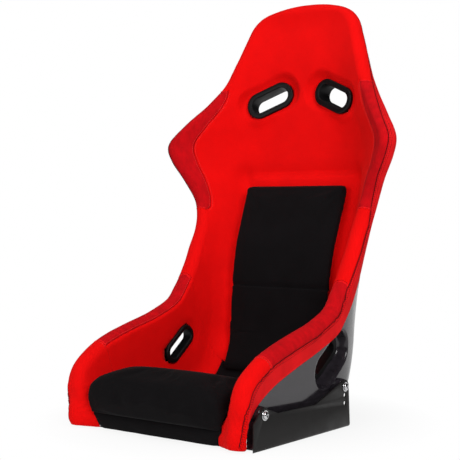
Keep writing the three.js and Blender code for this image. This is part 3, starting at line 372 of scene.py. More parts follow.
class NodeBoard:
    """Lays out one node tree with short calls."""

    def __init__(self, owner: bpy.types.ID) -> None:
        """Clears the node tree of a material or of the world."""
        owner.use_nodes = True
        self.owner = owner
        self.tree = owner.node_tree
        self.tree.nodes.clear()

    def add(self, kind: str, settings: Optional[dict] = None, **inputs: object) -> bpy.types.Node:
        """Adds a node.

        Args:
            kind: Node type without the ShaderNode prefix.
            settings: Properties of the node itself.
            inputs: Values or sockets for its inputs, with _ for each space in a name.

        Returns:
            The node.
        """
        node = self.tree.nodes.new("ShaderNode" + kind)
        for key, value in (settings or {}).items():
            setattr(node, key, value)
        for key, value in inputs.items():
            self.put(node, key.replace("_", " "), value)
        return node

    def put(self, node: bpy.types.Node, key: str | int, value: object) -> None:
        """Sets one input of a node, or links a socket to it."""
        socket = node.inputs[key]
        if isinstance(value, bpy.types.NodeSocket):
            self.tree.links.new(value, socket)
        elif isinstance(value, tuple) and socket.type == "RGBA":
            socket.default_value = (*value, 1.0)
        else:
            socket.default_value = value

    def place(self, stretch: Colour = PLAIN, turn: Colour = (0.0, 0.0, 0.0)) -> bpy.types.NodeSocket:
        """Object coordinates, stretched and turned."""
        spot = self.add("TexCoord").outputs["Object"]
        return self.add("Mapping", Vector=spot, Scale=stretch, Rotation=turn).outputs[0]

    def speckle(self, scale: float, detail: float, stretch: Colour = PLAIN) -> bpy.types.NodeSocket:
        """Noise value from 0 to 1 at a scale per metre."""
        return self.add("TexNoise", Vector=self.place(stretch), Scale=scale, Detail=detail).outputs[0]

    def ramp(self, value: bpy.types.NodeSocket, low: float, high: float, first: float,
             last: float) -> bpy.types.NodeSocket:
        """Value that runs from first to last while another one runs from low to high."""
        node = self.add("MapRange", Value=value, From_Min=low, From_Max=high, To_Min=first, To_Max=last)
        return node.outputs[0]

    def between(self, share: bpy.types.NodeSocket, first: float, last: float) -> bpy.types.NodeSocket:
        """Value that runs from first to last over the middle of a noise."""
        return self.ramp(share, 0.3, 0.7, first, last)

    def blend(self, share: bpy.types.NodeSocket, first: Colour, second: Colour) -> bpy.types.NodeSocket:
        """Colour between two colours at a share."""
        mix = self.add("Mix", {"data_type": "RGBA"})
        for slot, value in ((0, share), (6, first), (7, second)):
            self.put(mix, slot, value)
        return mix.outputs[2]

    def sum(self, first: object, second: object, operation: str = "ADD") -> bpy.types.NodeSocket:
        """Arithmetic on two values."""
        node = self.add("Math", {"operation": operation})
        self.put(node, 0, first)
        self.put(node, 1, second)
        return node.outputs[0]

    def scaled(self, value: bpy.types.NodeSocket, factor: float) -> bpy.types.NodeSocket:
        """A value times a factor."""
        return self.sum(value, factor, "MULTIPLY")

    def bump(self, height: bpy.types.NodeSocket, distance: float,
             strength: float = 1.0) -> bpy.types.NodeSocket:
        """Normal that follows a height, in metres times the height's value."""
        return self.add("Bump", Height=height, Distance=distance, Strength=strength).outputs[0]

    def surface(self, **inputs: object) -> bpy.types.Material:
        """Closes the material with a principled shader."""
        shader = self.add("BsdfPrincipled", **inputs)
        self.add("OutputMaterial", Surface=shader.outputs[0])
        return self.owner


@dataclass(frozen=True)
class Finish:
    """A named surface finish, with a material slot's name that nothing here uses."""

    name: str
    slot: str
    colour: Colour

    def material(self) -> bpy.types.Material:
        """The finish's material, made once."""
        found = bpy.data.materials.get(self.name)
        return found or self.make(NodeBoard(bpy.data.materials.new(self.name)))

    def make(self, board: NodeBoard) -> bpy.types.Material:
        """Lays out the nodes; each kind of finish has its own."""
        return board.surface(Base_Color=self.colour, Roughness=0.5)

    def shade(self, amount: float) -> Colour:
        """The colour made darker or lighter by a factor."""
        return tuple(min(1.0, value * amount) for value in self.colour)

    def mottled(self, board: NodeBoard, share: bpy.types.NodeSocket, dark: float,
                light: float) -> bpy.types.NodeSocket:
        """The colour between a darker and a lighter shade, following a noise."""
        return board.blend(board.between(share, 0.0, 1.0), self.shade(dark), self.shade(light))


@dataclass(frozen=True)
class Knit(Finish):
    """Fine knitted cloth: rows of loops, a soft fuzz and slow changes of shade."""

    loop: float = 1.1 * MM
    relief: float = 0.16 * MM
    fuzz: float = 0.06
    fuzz_tint: Colour = (1.0, 1.0, 1.0)
    gloss: float = 0.08
    spread: float = 0.12

    def make(self, board: NodeBoard) -> bpy.types.Material:
        """Loops from a cell pattern, fuzz from sheen, shade from noise."""
        loops = board.add("TexVoronoi", Vector=board.place(), Scale=1 / self.loop).outputs["Distance"]
        fibres = board.speckle(2600, 2)
        cloud = board.speckle(22, 4)
        mottle = board.speckle(420, 3)
        share = board.sum(board.scaled(cloud, 0.6), board.scaled(mottle, 0.4))
        height = board.sum(loops, board.scaled(fibres, 0.5))
        return board.surface(
            Base_Color=self.mottled(board, share, 1 - self.spread, 1 + self.spread / 2),
            Roughness=board.between(mottle, 0.82, 0.95),
            Specular_IOR_Level=self.gloss,
            Sheen_Weight=self.fuzz,
            Sheen_Roughness=0.45,
            Sheen_Tint=self.fuzz_tint,
            Normal=board.bump(height, self.relief, 0.8),
        )


@dataclass(frozen=True)
class Suede(Finish):
    """Brushed cloth: a short nap that lies in patches, with a broad soft sheen."""

    def make(self, board: NodeBoard) -> bpy.types.Material:
        """Nap patches from stretched noise over a fine grain."""
        nap = board.speckle(55, 5, (1.0, 1.6, 0.8))
        grain = board.speckle(1500, 3)
        patch = board.sum(board.scaled(nap, 0.75), board.scaled(grain, 0.25))
        return board.surface(
            Base_Color=self.mottled(board, patch, 0.76, 1.16),
            Roughness=board.between(nap, 0.85, 1.0),
            Specular_IOR_Level=0.06,
            Sheen_Weight=0.05,
            Sheen_Roughness=0.6,
            Sheen_Tint=(1.0, 0.15, 0.15),
            Normal=board.bump(board.sum(grain, nap), 0.12 * MM, 0.7),
        )


@dataclass(frozen=True)
class Ribbon(Finish):
    """Woven edge band: ribs across its length, read from the band's own UV map."""

    rib: float = 1.4 * MM

    def make(self, board: NodeBoard) -> bpy.types.Material:
        """Ribs along the UV map's first axis, with a cross thread along its second."""
        laid = board.add("TexCoord").outputs["UV"]
        threads = []
        for axis, pitch in (("X", self.rib), ("Y", 0.6 * self.rib)):
            wave = board.add("TexWave", {"wave_type": "BANDS", "bands_direction": axis},
                             Vector=laid, Scale=0.32 / pitch, Distortion=0.3)
            threads.append(wave.outputs[1])
        weave = board.sum(*threads, "MULTIPLY")
        return board.surface(
            Base_Color=self.mottled(board, board.speckle(30, 4), 0.88, 1.06),
            Roughness=0.82,
            Specular_IOR_Level=0.1,
            Sheen_Weight=0.04,
            Sheen_Roughness=0.4,
            Sheen_Tint=(1.0, 0.15, 0.15),
            Normal=board.bump(weave, 0.22 * MM, 0.8),
        )


@dataclass(frozen=True)
class Thread(Finish):
    """Twisted sewing thread."""

    def make(self, board: NodeBoard) -> bpy.types.Material:
        """Twist lines from a slanted wave."""
        slant = board.place(turn=(0.6, 0.4, 0.5))
        twist = board.add("TexWave", Vector=slant, Scale=900.0).outputs[1]
        colour = board.blend(twist, self.shade(0.8), self.shade(1.1))
        return board.surface(Base_Color=colour, Roughness=0.75, Specular_IOR_Level=0.1,
                             Normal=board.bump(twist, 0.1 * MM))


@dataclass(frozen=True)
class HookTape(Finish):
    """Hook-and-loop tape: a dense field of small tufts."""

    def make(self, board: NodeBoard) -> bpy.types.Material:
        """Tufts from a cell pattern."""
        tufts = board.add("TexVoronoi", Vector=board.place(), Scale=1100.0).outputs["Distance"]
        colour = board.blend(tufts, self.shade(1.4), self.shade(0.6))
        return board.surface(Base_Color=colour, Roughness=0.95, Sheen_Weight=0.4,
                             Normal=board.bump(tufts, 0.4 * MM))


@dataclass(frozen=True)
class GlossLaminate(Finish):
    """Gel-coated laminate: deep gloss with a faint ripple and fine dust."""

    def make(self, board: NodeBoard) -> bpy.types.Material:
        """A clear coat over a dark base, both lightly rippled."""
        ripple = board.speckle(26, 2)
        peel = board.speckle(330, 2)
        dust = board.speckle(70, 6)
        height = board.sum(ripple, board.scaled(peel, 0.05))
        return board.surface(
            Base_Color=self.mottled(board, dust, 0.7, 1.3),
            Roughness=board.between(dust, 0.16, 0.26),
            Specular_IOR_Level=0.3,
            Coat_Weight=0.25,
            Coat_Roughness=0.05,
            Normal=board.bump(height, 0.8 * MM, 0.35),
        )


@dataclass(frozen=True)
class SatinPlastic(Finish):
    """Moulded plastic with a fine spark-eroded grain."""

    def make(self, board: NodeBoard) -> bpy.types.Material:
        """Grain from fine noise, handled patches from coarse noise."""
        grain = board.speckle(1900, 2)
        worn = board.speckle(45, 4)
        return board.surface(
            Base_Color=self.mottled(board, worn, 0.85, 1.25),
            Roughness=board.between(worn, 0.44, 0.56),
            Specular_IOR_Level=0.2,
            Normal=board.bump(grain, 0.05 * MM, 0.6),
        )


@dataclass(frozen=True)
class PowderCoat(Finish):
    """Baked powder on steel: a fine orange peel, a little polished where hands and rails touch."""

    def make(self, board: NodeBoard) -> bpy.types.Material:
        """Peel from two sizes of noise."""
        peel = board.speckle(620, 3)
        slow = board.speckle(30, 5)
        return board.surface(
            Base_Color=self.mottled(board, slow, 0.8, 1.3),
            Roughness=board.between(slow, 0.46, 0.6),
            Specular_IOR_Level=0.28,
            Normal=board.bump(peel, 0.12 * MM, 0.7),
        )


@dataclass(frozen=True)
class BrightMetal(Finish):
    """Plated or plain bright metal with fine turning marks."""

    roughness: float = 0.2

    def make(self, board: NodeBoard) -> bpy.types.Material:
        """Turning marks from stretched noise."""
        marks = board.speckle(900, 2, (6.0, 1.0, 1.0))
        tint = board.speckle(160, 3)
        return board.surface(
            Base_Color=self.mottled(board, tint, 0.88, 1.08),
            Metallic=1.0,
            Roughness=board.between(tint, self.roughness * 0.8, self.roughness * 1.3),
            Normal=board.bump(marks, 0.015 * MM, 0.5),
        )


RED_KNIT = Knit("red_knit", "red_fabric", (0.83, 0.0022, 0.0022), fuzz_tint=(1.0, 0.2, 0.15),
                spread=0.08)
RED_SUEDE = Suede("red_suede", "red_trim", (0.56, 0.0035, 0.007))
RED_BAND = Ribbon("red_ribbon", "red_band", (0.84, 0.008, 0.011))
BLACK_KNIT = Knit("black_knit", "black_fabric", (0.0052, 0.0044, 0.005), relief=0.2 * MM, fuzz=0.02,
                  gloss=0.07, spread=0.25)
TAPE = HookTape("hook_and_loop", "hook_loop", (0.012, 0.012, 0.013))
LAMINATE = GlossLaminate("gloss_laminate", "laminate", (0.02, 0.0165, 0.021))
PLASTIC = SatinPlastic("satin_plastic", "guide_plastic", (0.0032, 0.003, 0.0034))
COATED_STEEL = PowderCoat("powder_coat", "bracket_steel", (0.0075, 0.0066, 0.0064))
BRIGHT_STEEL = BrightMetal("bright_zinc", "bright_steel", (0.55, 0.55, 0.56), roughness=0.14)
PLAIN_BRASS = BrightMetal("plain_brass", "brass", (0.6, 0.42, 0.16), roughness=0.3)
# Dark red sewing thread; the same colour on the band seam cords is painted shade for the seams'
# grooves.
THREAD_AND_SEAM_SHADE = Thread("red_thread_and_seam_shade", "red_trim", (0.13, 0.002, 0.004))
PALE_THREAD = Thread("pale_thread", "red_trim", (0.9, 0.05, 0.05))


# ------------------------------------------------------------------ mesh tools
class Side(Enum):
    """Which side of the seat a paired piece is on."""

    LEFT = 1
    RIGHT = -1

    @property
    def word(self) -> str:
        """The side's name as the pieces use it."""
        return self.name.lower()


def settle(name: str, bm: bmesh.types.BMesh, finish: Finish,
           crease: Optional[float] = None) -> bpy.types.Object:
    """Turns a bmesh into a shown object with its finish.

    Args:
        name: Piece's name.
        bm: Its mesh, which is freed.
        finish: Its surface.
        crease: Angle in degrees over which an edge is shaded sharp, or None for all smooth.

    Returns:
        The object.
    """
    for polygon in bm.faces:
        polygon.smooth = True
    if crease is not None:
        for edge in bm.edges:
            if len(edge.link_faces) == 2 and edge.calc_face_angle(0.0) > math.radians(crease):
                edge.smooth = False
    mesh = bpy.data.meshes.new(name)
    bm.to_mesh(mesh)
    bm.free()
    mesh.materials.append(finish.material())
    piece = bpy.data.objects.new(name, mesh)
    bpy.context.scene.collection.objects.link(piece)
    return piece


def mount(piece: bpy.types.Object, body: str, *nodes: str,
          fill: Optional[float] = None) -> bpy.types.Object:
    """Ties a piece to its body and to the solids it stands for, which it hides; its fill is not used.
    """
    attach(piece, body)
    if nodes:
        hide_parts(*nodes)
    LOG.info("%s: %d faces", piece.name, len(piece.data.polygons))
    return piece


def grid_of(rows: int, columns: int) -> tuple[bmesh.types.BMesh, list[list[bmesh.types.BMVert]]]:
    """A flat grid, and its vertices by row and column."""
    bm = bmesh.new()
    bmesh.ops.create_grid(bm, x_segments=rows - 1, y_segments=columns - 1, size=1.0)
    ordered = sorted(bm.verts, key=lambda v: (round(v.co.x, 5), round(v.co.y, 5)))
    return bm, [ordered[i * columns:(i + 1) * columns] for i in range(rows)]


def hem(piece: bpy.types.Object, thickness: float) -> None:
    """Gives a cover its thickness, inwards from its face."""
    wall = piece.modifiers.new("thickness", "SOLIDIFY")
    wall.thickness = thickness
    wall.offset = -1
    wall.use_rim = True


def rows_through(stops: Sequence[float], spacing: float, pinch: float = 0.8) -> list[float]:
    """Stations from the first stop to the last, closer together beside each stop."""
    rows = [stops[0]]
    for a, b in zip(stops, stops[1:]):
        count = max(2, math.ceil((b - a) * STATION_LENGTH / spacing))
        rows += spread(count, a, b, pinch)[1:]
    return rows


STATION_LENGTH = 45 * MM  # about the distance between two stations


def ring_edges(ring: Iterable[bmesh.types.BMVert]) -> list[bmesh.types.BMEdge]:
    """The edges that join a group's vertices, each once."""
    members = set(ring)
    return list(dict.fromkeys(e for v in ring for e in v.link_edges if e.other_vert(v) in members))


def break_edges(bm: bmesh.types.BMesh, edges: list[bmesh.types.BMEdge], width: float,
                steps: int) -> None:
    """Rounds edges over by a width."""
    bmesh.ops.bevel(bm, geom=edges, offset=width, offset_type="OFFSET", segments=steps, profile=0.5,
                    affect="EDGES", clamp_overlap=True, material=-1)


def run_profile(segments: int, count: int, place: Callable[[int, float], Sequence[float]],
                closed: bool) -> bmesh.types.BMesh:
    """Runs a profile round, from loop to loop of a tube.

    Args:
        segments: Vertices on each loop.
        count: Number of loops.
        place: Where a loop's vertex at an angle goes.
        closed: True if the last loop joins the first, as on a ring; both are capped otherwise.

    Returns:
        The mesh with its faces out.
    """
    bm = bmesh.new()
    first = loop = bmesh.ops.create_circle(bm, segments=segments, radius=1.0)["verts"]
    angles = [math.atan2(v.co.y, v.co.x) for v in loop]
    for k in range(count):
        if k:
            grown = bmesh.ops.extrude_edge_only(bm, edges=ring_edges(loop))["geom"]
            fresh = {g for g in grown if isinstance(g, bmesh.types.BMVert)}
            loop = [next(e.other_vert(v) for e in v.link_edges if e.other_vert(v) in fresh)
                    for v in loop]
        for v, angle in zip(loop, angles):
            v.co = place(k, angle)
    if closed:
        bmesh.ops.bridge_loops(bm, edges=ring_edges(first) + ring_edges(loop))
    else:
        for ring in (first, loop):
            bmesh.ops.contextual_create(bm, geom=ring)
    bmesh.ops.recalc_face_normals(bm, faces=bm.faces)
    return bm


def bake(piece: bpy.types.Object) -> None:
    """Applies a piece's modifiers to its mesh."""
    graph = bpy.context.evaluated_depsgraph_get()
    done = bpy.data.meshes.new_from_object(piece.evaluated_get(graph), depsgraph=graph)
    old = piece.data
    piece.modifiers.clear()
    piece.data = done
    bpy.data.meshes.remove(old)


# ------------------------------------------------------------------ harness slots
class Oblong:
    """A slot's outline: a straight-sided oval with round ends."""

    def __init__(self, length: float, width: float) -> None:
        """Keeps the outline's length and width, in metres."""
        self.radius = width / 2
        self.half = length / 2 - self.radius

    def distance(self, x: float, y: float) -> float:
        """How far a point is outside the outline; negative inside it."""
        return math.hypot(x - max(-self.half, min(self.half, x)), y) - self.radius

    def point(self, turn: float, grow: float = 0.0) -> tuple[float, float]:
        """Point of the outline, grown by some length, at a share of the way round."""
        r = self.radius + grow
        straight, arc = 2 * self.half, math.pi * r
        at = (turn % 1.0) * (2 * straight + 2 * arc)
        if at < arc:
            a = -math.pi / 2 + at / r
            return self.half + r * math.cos(a), r * math.sin(a)
        if at < arc + straight:
            return self.half - (at - arc), r
        if at < 2 * arc + straight:
            a = math.pi / 2 + (at - arc - straight) / r
            return -self.half + r * math.cos(a), r * math.sin(a)
        return -self.half + (at - 2 * arc - straight), -r


def height_at(s: Section, across: float) -> float:
    """Height of the padding's face over the floor line, at a distance from the centre line."""
    low, high = 0.0, 3.0
    for _ in range(24):
        middle = (low + high) / 2
        if s.pad_face(middle)[0] < across:
            low = middle
        else:
            high = middle
    return float(s.pad_face(low)[1])


@dataclass
class SlotSeat:
    """Where a harness guide sits on the left of the seat, and the sizes of its rings.

    Its own axes are x along the slot, y across it and z out towards the occupant.
    """

    node: str
    rear_node: str
    ring: Oblong
    hole: Oblong
    sleeve: Oblong
    matrix: Matrix
    rear_face: float = field(init=False)
    land: float = field(init=False)

    def __post_init__(self) -> None:
        """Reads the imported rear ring's depth."""
        self.inverse = self.matrix.inverted()
        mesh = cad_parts["left_" + self.rear_node].data
        depths = [(self.inverse @ v.co).z for v in mesh.vertices]
        self.rear_face = min(depths)
        self.land = max(depths) + CONTACT

    def local(self, point: Vector) -> Vector:
        """A point of either side in the slot's own axes."""
        return self.inverse @ Vector((abs(point.x), point.y, point.z))

    def world(self, local: Vector, side: float) -> Vector:
        """A point given in the slot's own axes, on the side of that sign."""
        p = self.matrix @ local
        return Vector((p.x if side >= 0 else -p.x, p.y, p.z))


CONTACT = 0.3 * MM
RING_SINK = 2 * MM
RING_HEIGHT = 7 * MM
SLEEVE_WALL = 2.6 * MM
RECESS_MARGIN = 4 * MM
PAD_MARGIN = 5 * MM


def seat_axes(centre: np.ndarray, out: np.ndarray, along: Sequence[float]) -> Matrix:
    """Matrix of a slot from its centre, its way out and its long direction."""
    z = Vector(out).normalized()
    x = Vector(along)
    x = (x - z * x.dot(z)).normalized()
    y = z.cross(x)
    matrix = Matrix((x, y, z)).transposed().to_4x4()
    matrix.translation = Vector(centre)
    return matrix


def find_slots() -> dict[str, SlotSeat]:
    """The shoulder slot and the lap slot of the left side."""
    s = section(19.3)
    tilt, slant = math.radians(11), math.radians(24)
    centre = s.space(np.array([84 * MM, height_at(s, 84 * MM)]))
    out = s.normal * math.cos(tilt) - s.along * math.sin(tilt)
    shoulder = SlotSeat(
        "shoulder_guide", "shoulder_guide_rear_ring",
        Oblong(128 * MM, 60 * MM), Oblong(90 * MM, 35 * MM), Oblong(95.2 * MM, 40.2 * MM),
        seat_axes(centre, out, (math.cos(slant), 0, -math.sin(slant))),
    )
    s = section(6.85)
    slant = math.radians(36)
    at = s.pad_face(2.46)[0]
    centre = s.space(np.array([at, height_at(s, at)]))
    out = -s.along * s.pad_out[0] - s.normal * s.pad_out[1]
    lap = SlotSeat(
        "lap_guide", "lap_guide_outer_ring",
        Oblong(112 * MM, 46 * MM), Oblong(82 * MM, 26 * MM), Oblong(87.2 * MM, 31.2 * MM),
        seat_axes(centre, out, (0, math.cos(slant), math.sin(slant))),
    )
    return {"shoulder": shoulder, "lap": lap}


# ------------------------------------------------------------------ seams
@dataclass
class Seam:
    """One sewn line on the covers: how deep it pulls them and how wide its groove is."""

    points: list[np.ndarray]
    depth: float
    width: float
    pucker: float = 0.3 * MM
    pitch: float = 13.5 * MM

    def __post_init__(self) -> None:
        self.line = [Vector(p) for p in self.points]
        self.tree = kdtree.KDTree(len(self.line))
        self.along = [0.0]
        for i, p in enumerate(self.line):
            self.tree.insert(p, i)
            if i:
                self.along.append(self.along[-1] + (p - self.line[i - 1]).length)
        self.tree.balance()

    def nearest(self, p: Vector) -> tuple[float, float]:
        """Distance to the line, and how far along it that is."""
        _, index, best = self.tree.find(p)
        place = self.along[index]
        for k in (index - 1, index):
            if 0 <= k < len(self.line) - 1:
                a, b = self.line[k], self.line[k + 1]
                step = b - a
                t = max(0.0, min(1.0, (p - a).dot(step) / max(step.length_squared, 1e-12)))
                gap = (p - a - step * t).length
                if gap < best:
                    best, place = gap, self.along[k] + step.length * t
        return best, place

    def pull(self, p: Vector) -> float:
        """How far the seam draws the cover down at a point: its groove and its puckers."""
        gap, place = self.nearest(p)
        if gap > 3 * self.width:
            return 0.0
        t = max(0.0, 1 - gap / self.width)
        groove = self.depth * (1 - math.sqrt(1 - 0.98 * t * t))
        waver = noise.noise(Vector((place * 30, self.depth * 900, 3.1)))
        fade = math.exp(-((gap / self.width) ** 2))
        wave = math.sin(place * 2 * math.pi / self.pitch + 5 * waver)
        return groove + self.pucker * fade * wave * (0.6 + waver)


def seam_line(stops: Iterable[Point], spacing: float = 1.5 * MM) -> list[np.ndarray]:
    """Points along a line on the covers, given by (station, column) stops."""
    stops = list(stops)
    points = []
    for (u0, q0), (u1, q1) in zip(stops, stops[1:]):
        length = max(1e-6, float(np.linalg.norm(face(u1, q1) - face(u0, q0))))
        count = max(1, math.ceil(length / spacing))
        points += [face(lerp(u0, u1, k / count), lerp(q0, q1, k / count)) for k in range(count)]
    return points + [face(*stops[-1])]


class SeamNet:
    """All the seams of the covers together."""

    def __init__(self) -> None:
        """Runs every seam on both sides."""
        self.seams: list[Seam] = []
        ring = spread(60, 0, 1)
        for sign in (1, -1):
            def run(stops: list[Point], depth: float, width: float, pucker: float = 0.3 * MM) -> None:
                """Adds one seam on this side."""
                line = seam_line([(u, sign * q) for u, q in stops])
                self.seams.append(Seam(line, depth, width, pucker))

            thigh = [lerp(NOSE_SEAM, HIP_SEAM, t) for t in ring]
            wing = [lerp(TRIM_START, TRIM_END, t) for t in ring]
            nose_end = band_seam(NOSE_SEAM)
            run([(HIP_SEAM, lerp(CREST_SEAM, BAND_END, t)) for t in ring], 2.6 * MM, 8 * MM)
            run([(NOSE_SEAM, lerp(CREST_SEAM, nose_end, t)) for t in ring], 2.4 * MM, 8 * MM)
            run([(u, CREST_SEAM) for u in thigh], 2.8 * MM, 8 * MM, 0.45 * MM)
            run([(u, band_seam(u)) for u in spread(70, 0, HIP_SEAM)], 3.4 * MM, 7 * MM, 0.3 * MM)
            run([(u, stitched_line(u)) for u in spread(24, 0, 2.6)], 2.6 * MM, 6 * MM, 0.3 * MM)
            run([(u, band_seam(u)) for u in spread(150, HIP_SEAM, TOP)], 1.9 * MM, 6 * MM, 0.2 * MM)
            run([(u, trim_edge(u)) for u in wing], 3.4 * MM, 9 * MM, 0.45 * MM)
            for end in (TRIM_START, TRIM_END):
                run([(end, lerp(3, band_seam(end), t)) for t in ring], 2.2 * MM, 7 * MM)
            run([(lerp(0, HIP_SEAM, t), PAN_SEAM) for t in ring], 4 * MM, 12 * MM)

    def pull(self, p: Vector) -> float:
        """The strongest seam's pull at a point."""
        return max(seam.pull(p) for seam in self.seams)


# ------------------------------------------------------------------ covers
@dataclass
class Patch:
    """A stretch of cover between rows of stations and columns across them."""

    rows: list[float]
    columns: Callable[[float], list[float]]
    capped: bool = False
    rounding: float = 0.36

    def build(self) -> tuple[bmesh.types.BMesh, list[Vector]]:
        """Lays a grid on the padding's face.

        Returns:
            The mesh with its faces out, and for each vertex the padding's back behind it.
        """
        ends = [0.15, 0.4, 0.7, 0.96] if self.capped else []
        bm, grid = grid_of(len(self.rows) + len(ends), len(self.columns(self.rows[0])))
        laid = bm.loops.layers.uv.new("UVMap")
        place: dict[bmesh.types.BMVert, Point] = {}
        backs: list[Vector] = [Vector()] * len(bm.verts)
        bm.verts.index_update()
        last: list[Vector] = []
        lengths = 0.0
        for i, line in enumerate(grid):
            k = i - len(ends)
            u = self.rows[max(0, k)]
            across = 0.0
            points = []
            for v, q in zip(line, self.columns(u)):
                top, low = face(u, q), under(u, q)
                p = top + (low - top) * (self.rounding * nose_round(u))
                if k < 0:
                    p = p + (low - p) * ends[-1 - i]
                v.co = Vector(p)
                across += (v.co - points[-1]).length if points else 0.0
                points.append(v.co.copy())
                backs[v.index] = Vector(low)
                place[v] = (lengths, across)
            if last:
                middle = len(points) // 2
                lengths += (points[middle] - last[middle]).length
                for v in line:
                    place[v] = (lengths, place[v][1])
            last = points
        for polygon in bm.faces:
            for loop in polygon.loops:
                loop[laid].uv = place[loop.vert]
        bm.normal_update()
        if sum(v.normal.dot(v.co - backs[v.index]) for v in bm.verts) < 0:
            bmesh.ops.reverse_faces(bm, faces=bm.faces)
            bm.normal_update()
        return bm, backs


def nose_round(u: float) -> float:
    """Rises from 0 to 1 along a quarter circle towards the cover's front end."""
    t = max(0.0, 1 - u / 0.6)
    return 1 - math.sqrt(1 - t * t * 0.98)


def strip(side: Side, inner: Edge, outer: Edge, count: int,
          pinch: float = 0.75) -> Callable[[float], list[float]]:
    """Columns of one side from an inner to an outer edge, closer together beside both."""
    if side is Side.LEFT:
        return lambda u: spread(count, inner(u), outer(u), pinch)
    return lambda u: spread(count, -outer(u), -inner(u), pinch)


def steady(value: float) -> Edge:
    """An edge that keeps one column."""
    return lambda _: value


class Upholsterer:
    """Presses covers down at their seams and round the harness slots."""

    COVER = 1.0 * MM
    SLACK = 1.3 * MM
    EASE = 12 * MM
    DIP = 15 * MM
    DIP_WIDTH = 20 * MM
    FOLD = 0.4 * MM
    FOLD_PITCH = 17 * MM

    def __init__(self) -> None:
        """Lays out the seams and the slots."""
        self.net = SeamNet()
        self.slots = find_slots()

    def press(self, bm: bmesh.types.BMesh, backs: Sequence[Vector]) -> None:
        """Moves each vertex in by what its seams pull, and lets the foam swell a little."""
        moves = []
        for v in bm.verts:
            room = max(0.0, (v.co - backs[v.index]).length - self.SLACK)
            swell = 0.45 * MM * noise.noise(v.co * 24) + 0.16 * MM * noise.noise(v.co * 70)
            swell += self.wrinkle(v.co) - self.valley(v.co)
            moves.append(-v.normal * min(self.net.pull(v.co) - swell, room))
        for v, move in zip(bm.verts, moves):
            v.co += move

    def valley(self, p: Vector) -> float:
        """Dip of the cover round the back cushion, where it is sewn down to the foam."""
        foot, height = 110 * MM, 505 * MM
        edge = lerp(126 * MM, 132 * MM, (p.z - 120 * MM) / (360 * MM))
        beside = abs(p.x) - edge - self.EASE
        over = p.z - height
        if p.z < foot or p.y < 80 * MM or over > 50 * MM:
            return 0.0
        gap = math.hypot(max(beside, -self.EASE), over) if over > 0 else beside
        near = math.exp(-((gap / self.DIP_WIDTH) ** 2))
        return self.DIP * near * smoothstep((p.z - foot) / (60 * MM))

    def wrinkle(self, p: Vector) -> float:
        """Slack folds where the cover turns under at the front of each thigh bolster."""
        away, above = (p.y + 262 * MM) / (30 * MM), (p.z - 60 * MM) / (45 * MM)
        near = math.exp(-(away**2) - above**2)
        if near < 0.02 or abs(p.x) < 150 * MM:
            return 0.0
        place = p.z + abs(p.x) * 0.8 + 10 * MM * noise.noise(p * 30)
        return self.FOLD * near * math.sin(place * 2 * math.pi / self.FOLD_PITCH)

    def open_slots(self, bm: bmesh.types.BMesh, seat: SlotSeat, grip: float) -> None:
        """Draws the cover down to a guide's ring and cuts it out inside.

        Args:
            bm: The cover.
            seat: The slot.
            grip: How far the cover reaches in under the ring.
        """
        reach = 17 * MM
        lost = []
        for v in bm.verts:
            local = seat.local(v.co)
            gap = seat.ring.distance(local.x, local.y)
            if gap > reach or abs(local.z) > 45 * MM:
                continue
            if gap < -grip:
                lost.append(v)
                continue
            level = -RING_SINK - 0.5 * MM + 1.3 * MM * smoothstep((gap + 1.5 * MM) / (3.5 * MM))
            share = 1 - smoothstep((gap - 2 * MM) / (reach - 2 * MM))
            local.z = lerp(local.z, level, share)
            v.co = seat.world(local, v.co.x)
        bmesh.ops.delete(bm, geom=lost, context="VERTS")

    def sew(self, name: str, patches: Sequence[Patch], finish: Finish, seat: Optional[SlotSeat] = None,
            grip: float = 9 * MM) -> bpy.types.Object:
        """Builds one cover from its patches.

        Args:
            name: Piece's name.
            patches: Its stretches, whose shared edges are joined.
            finish: Its cloth.
            seat: A harness slot through it, on whichever side it lies.
            grip: How far the cover reaches in under that slot's ring.

        Returns:
            The cover.
        """
        whole = bmesh.new()
        for patch in patches:
            bm, backs = patch.build()
            self.press(bm, backs)
            part = bpy.data.meshes.new("part")
            bm.to_mesh(part)
            bm.free()
            whole.from_mesh(part)
            bpy.data.meshes.remove(part)
        bmesh.ops.remove_doubles(whole, verts=whole.verts, dist=0.1 * MM)
        if seat:
            self.open_slots(whole, seat, grip)
        piece = settle(name + "_sewn", whole, finish)
        hem(piece, self.COVER)
        return piece


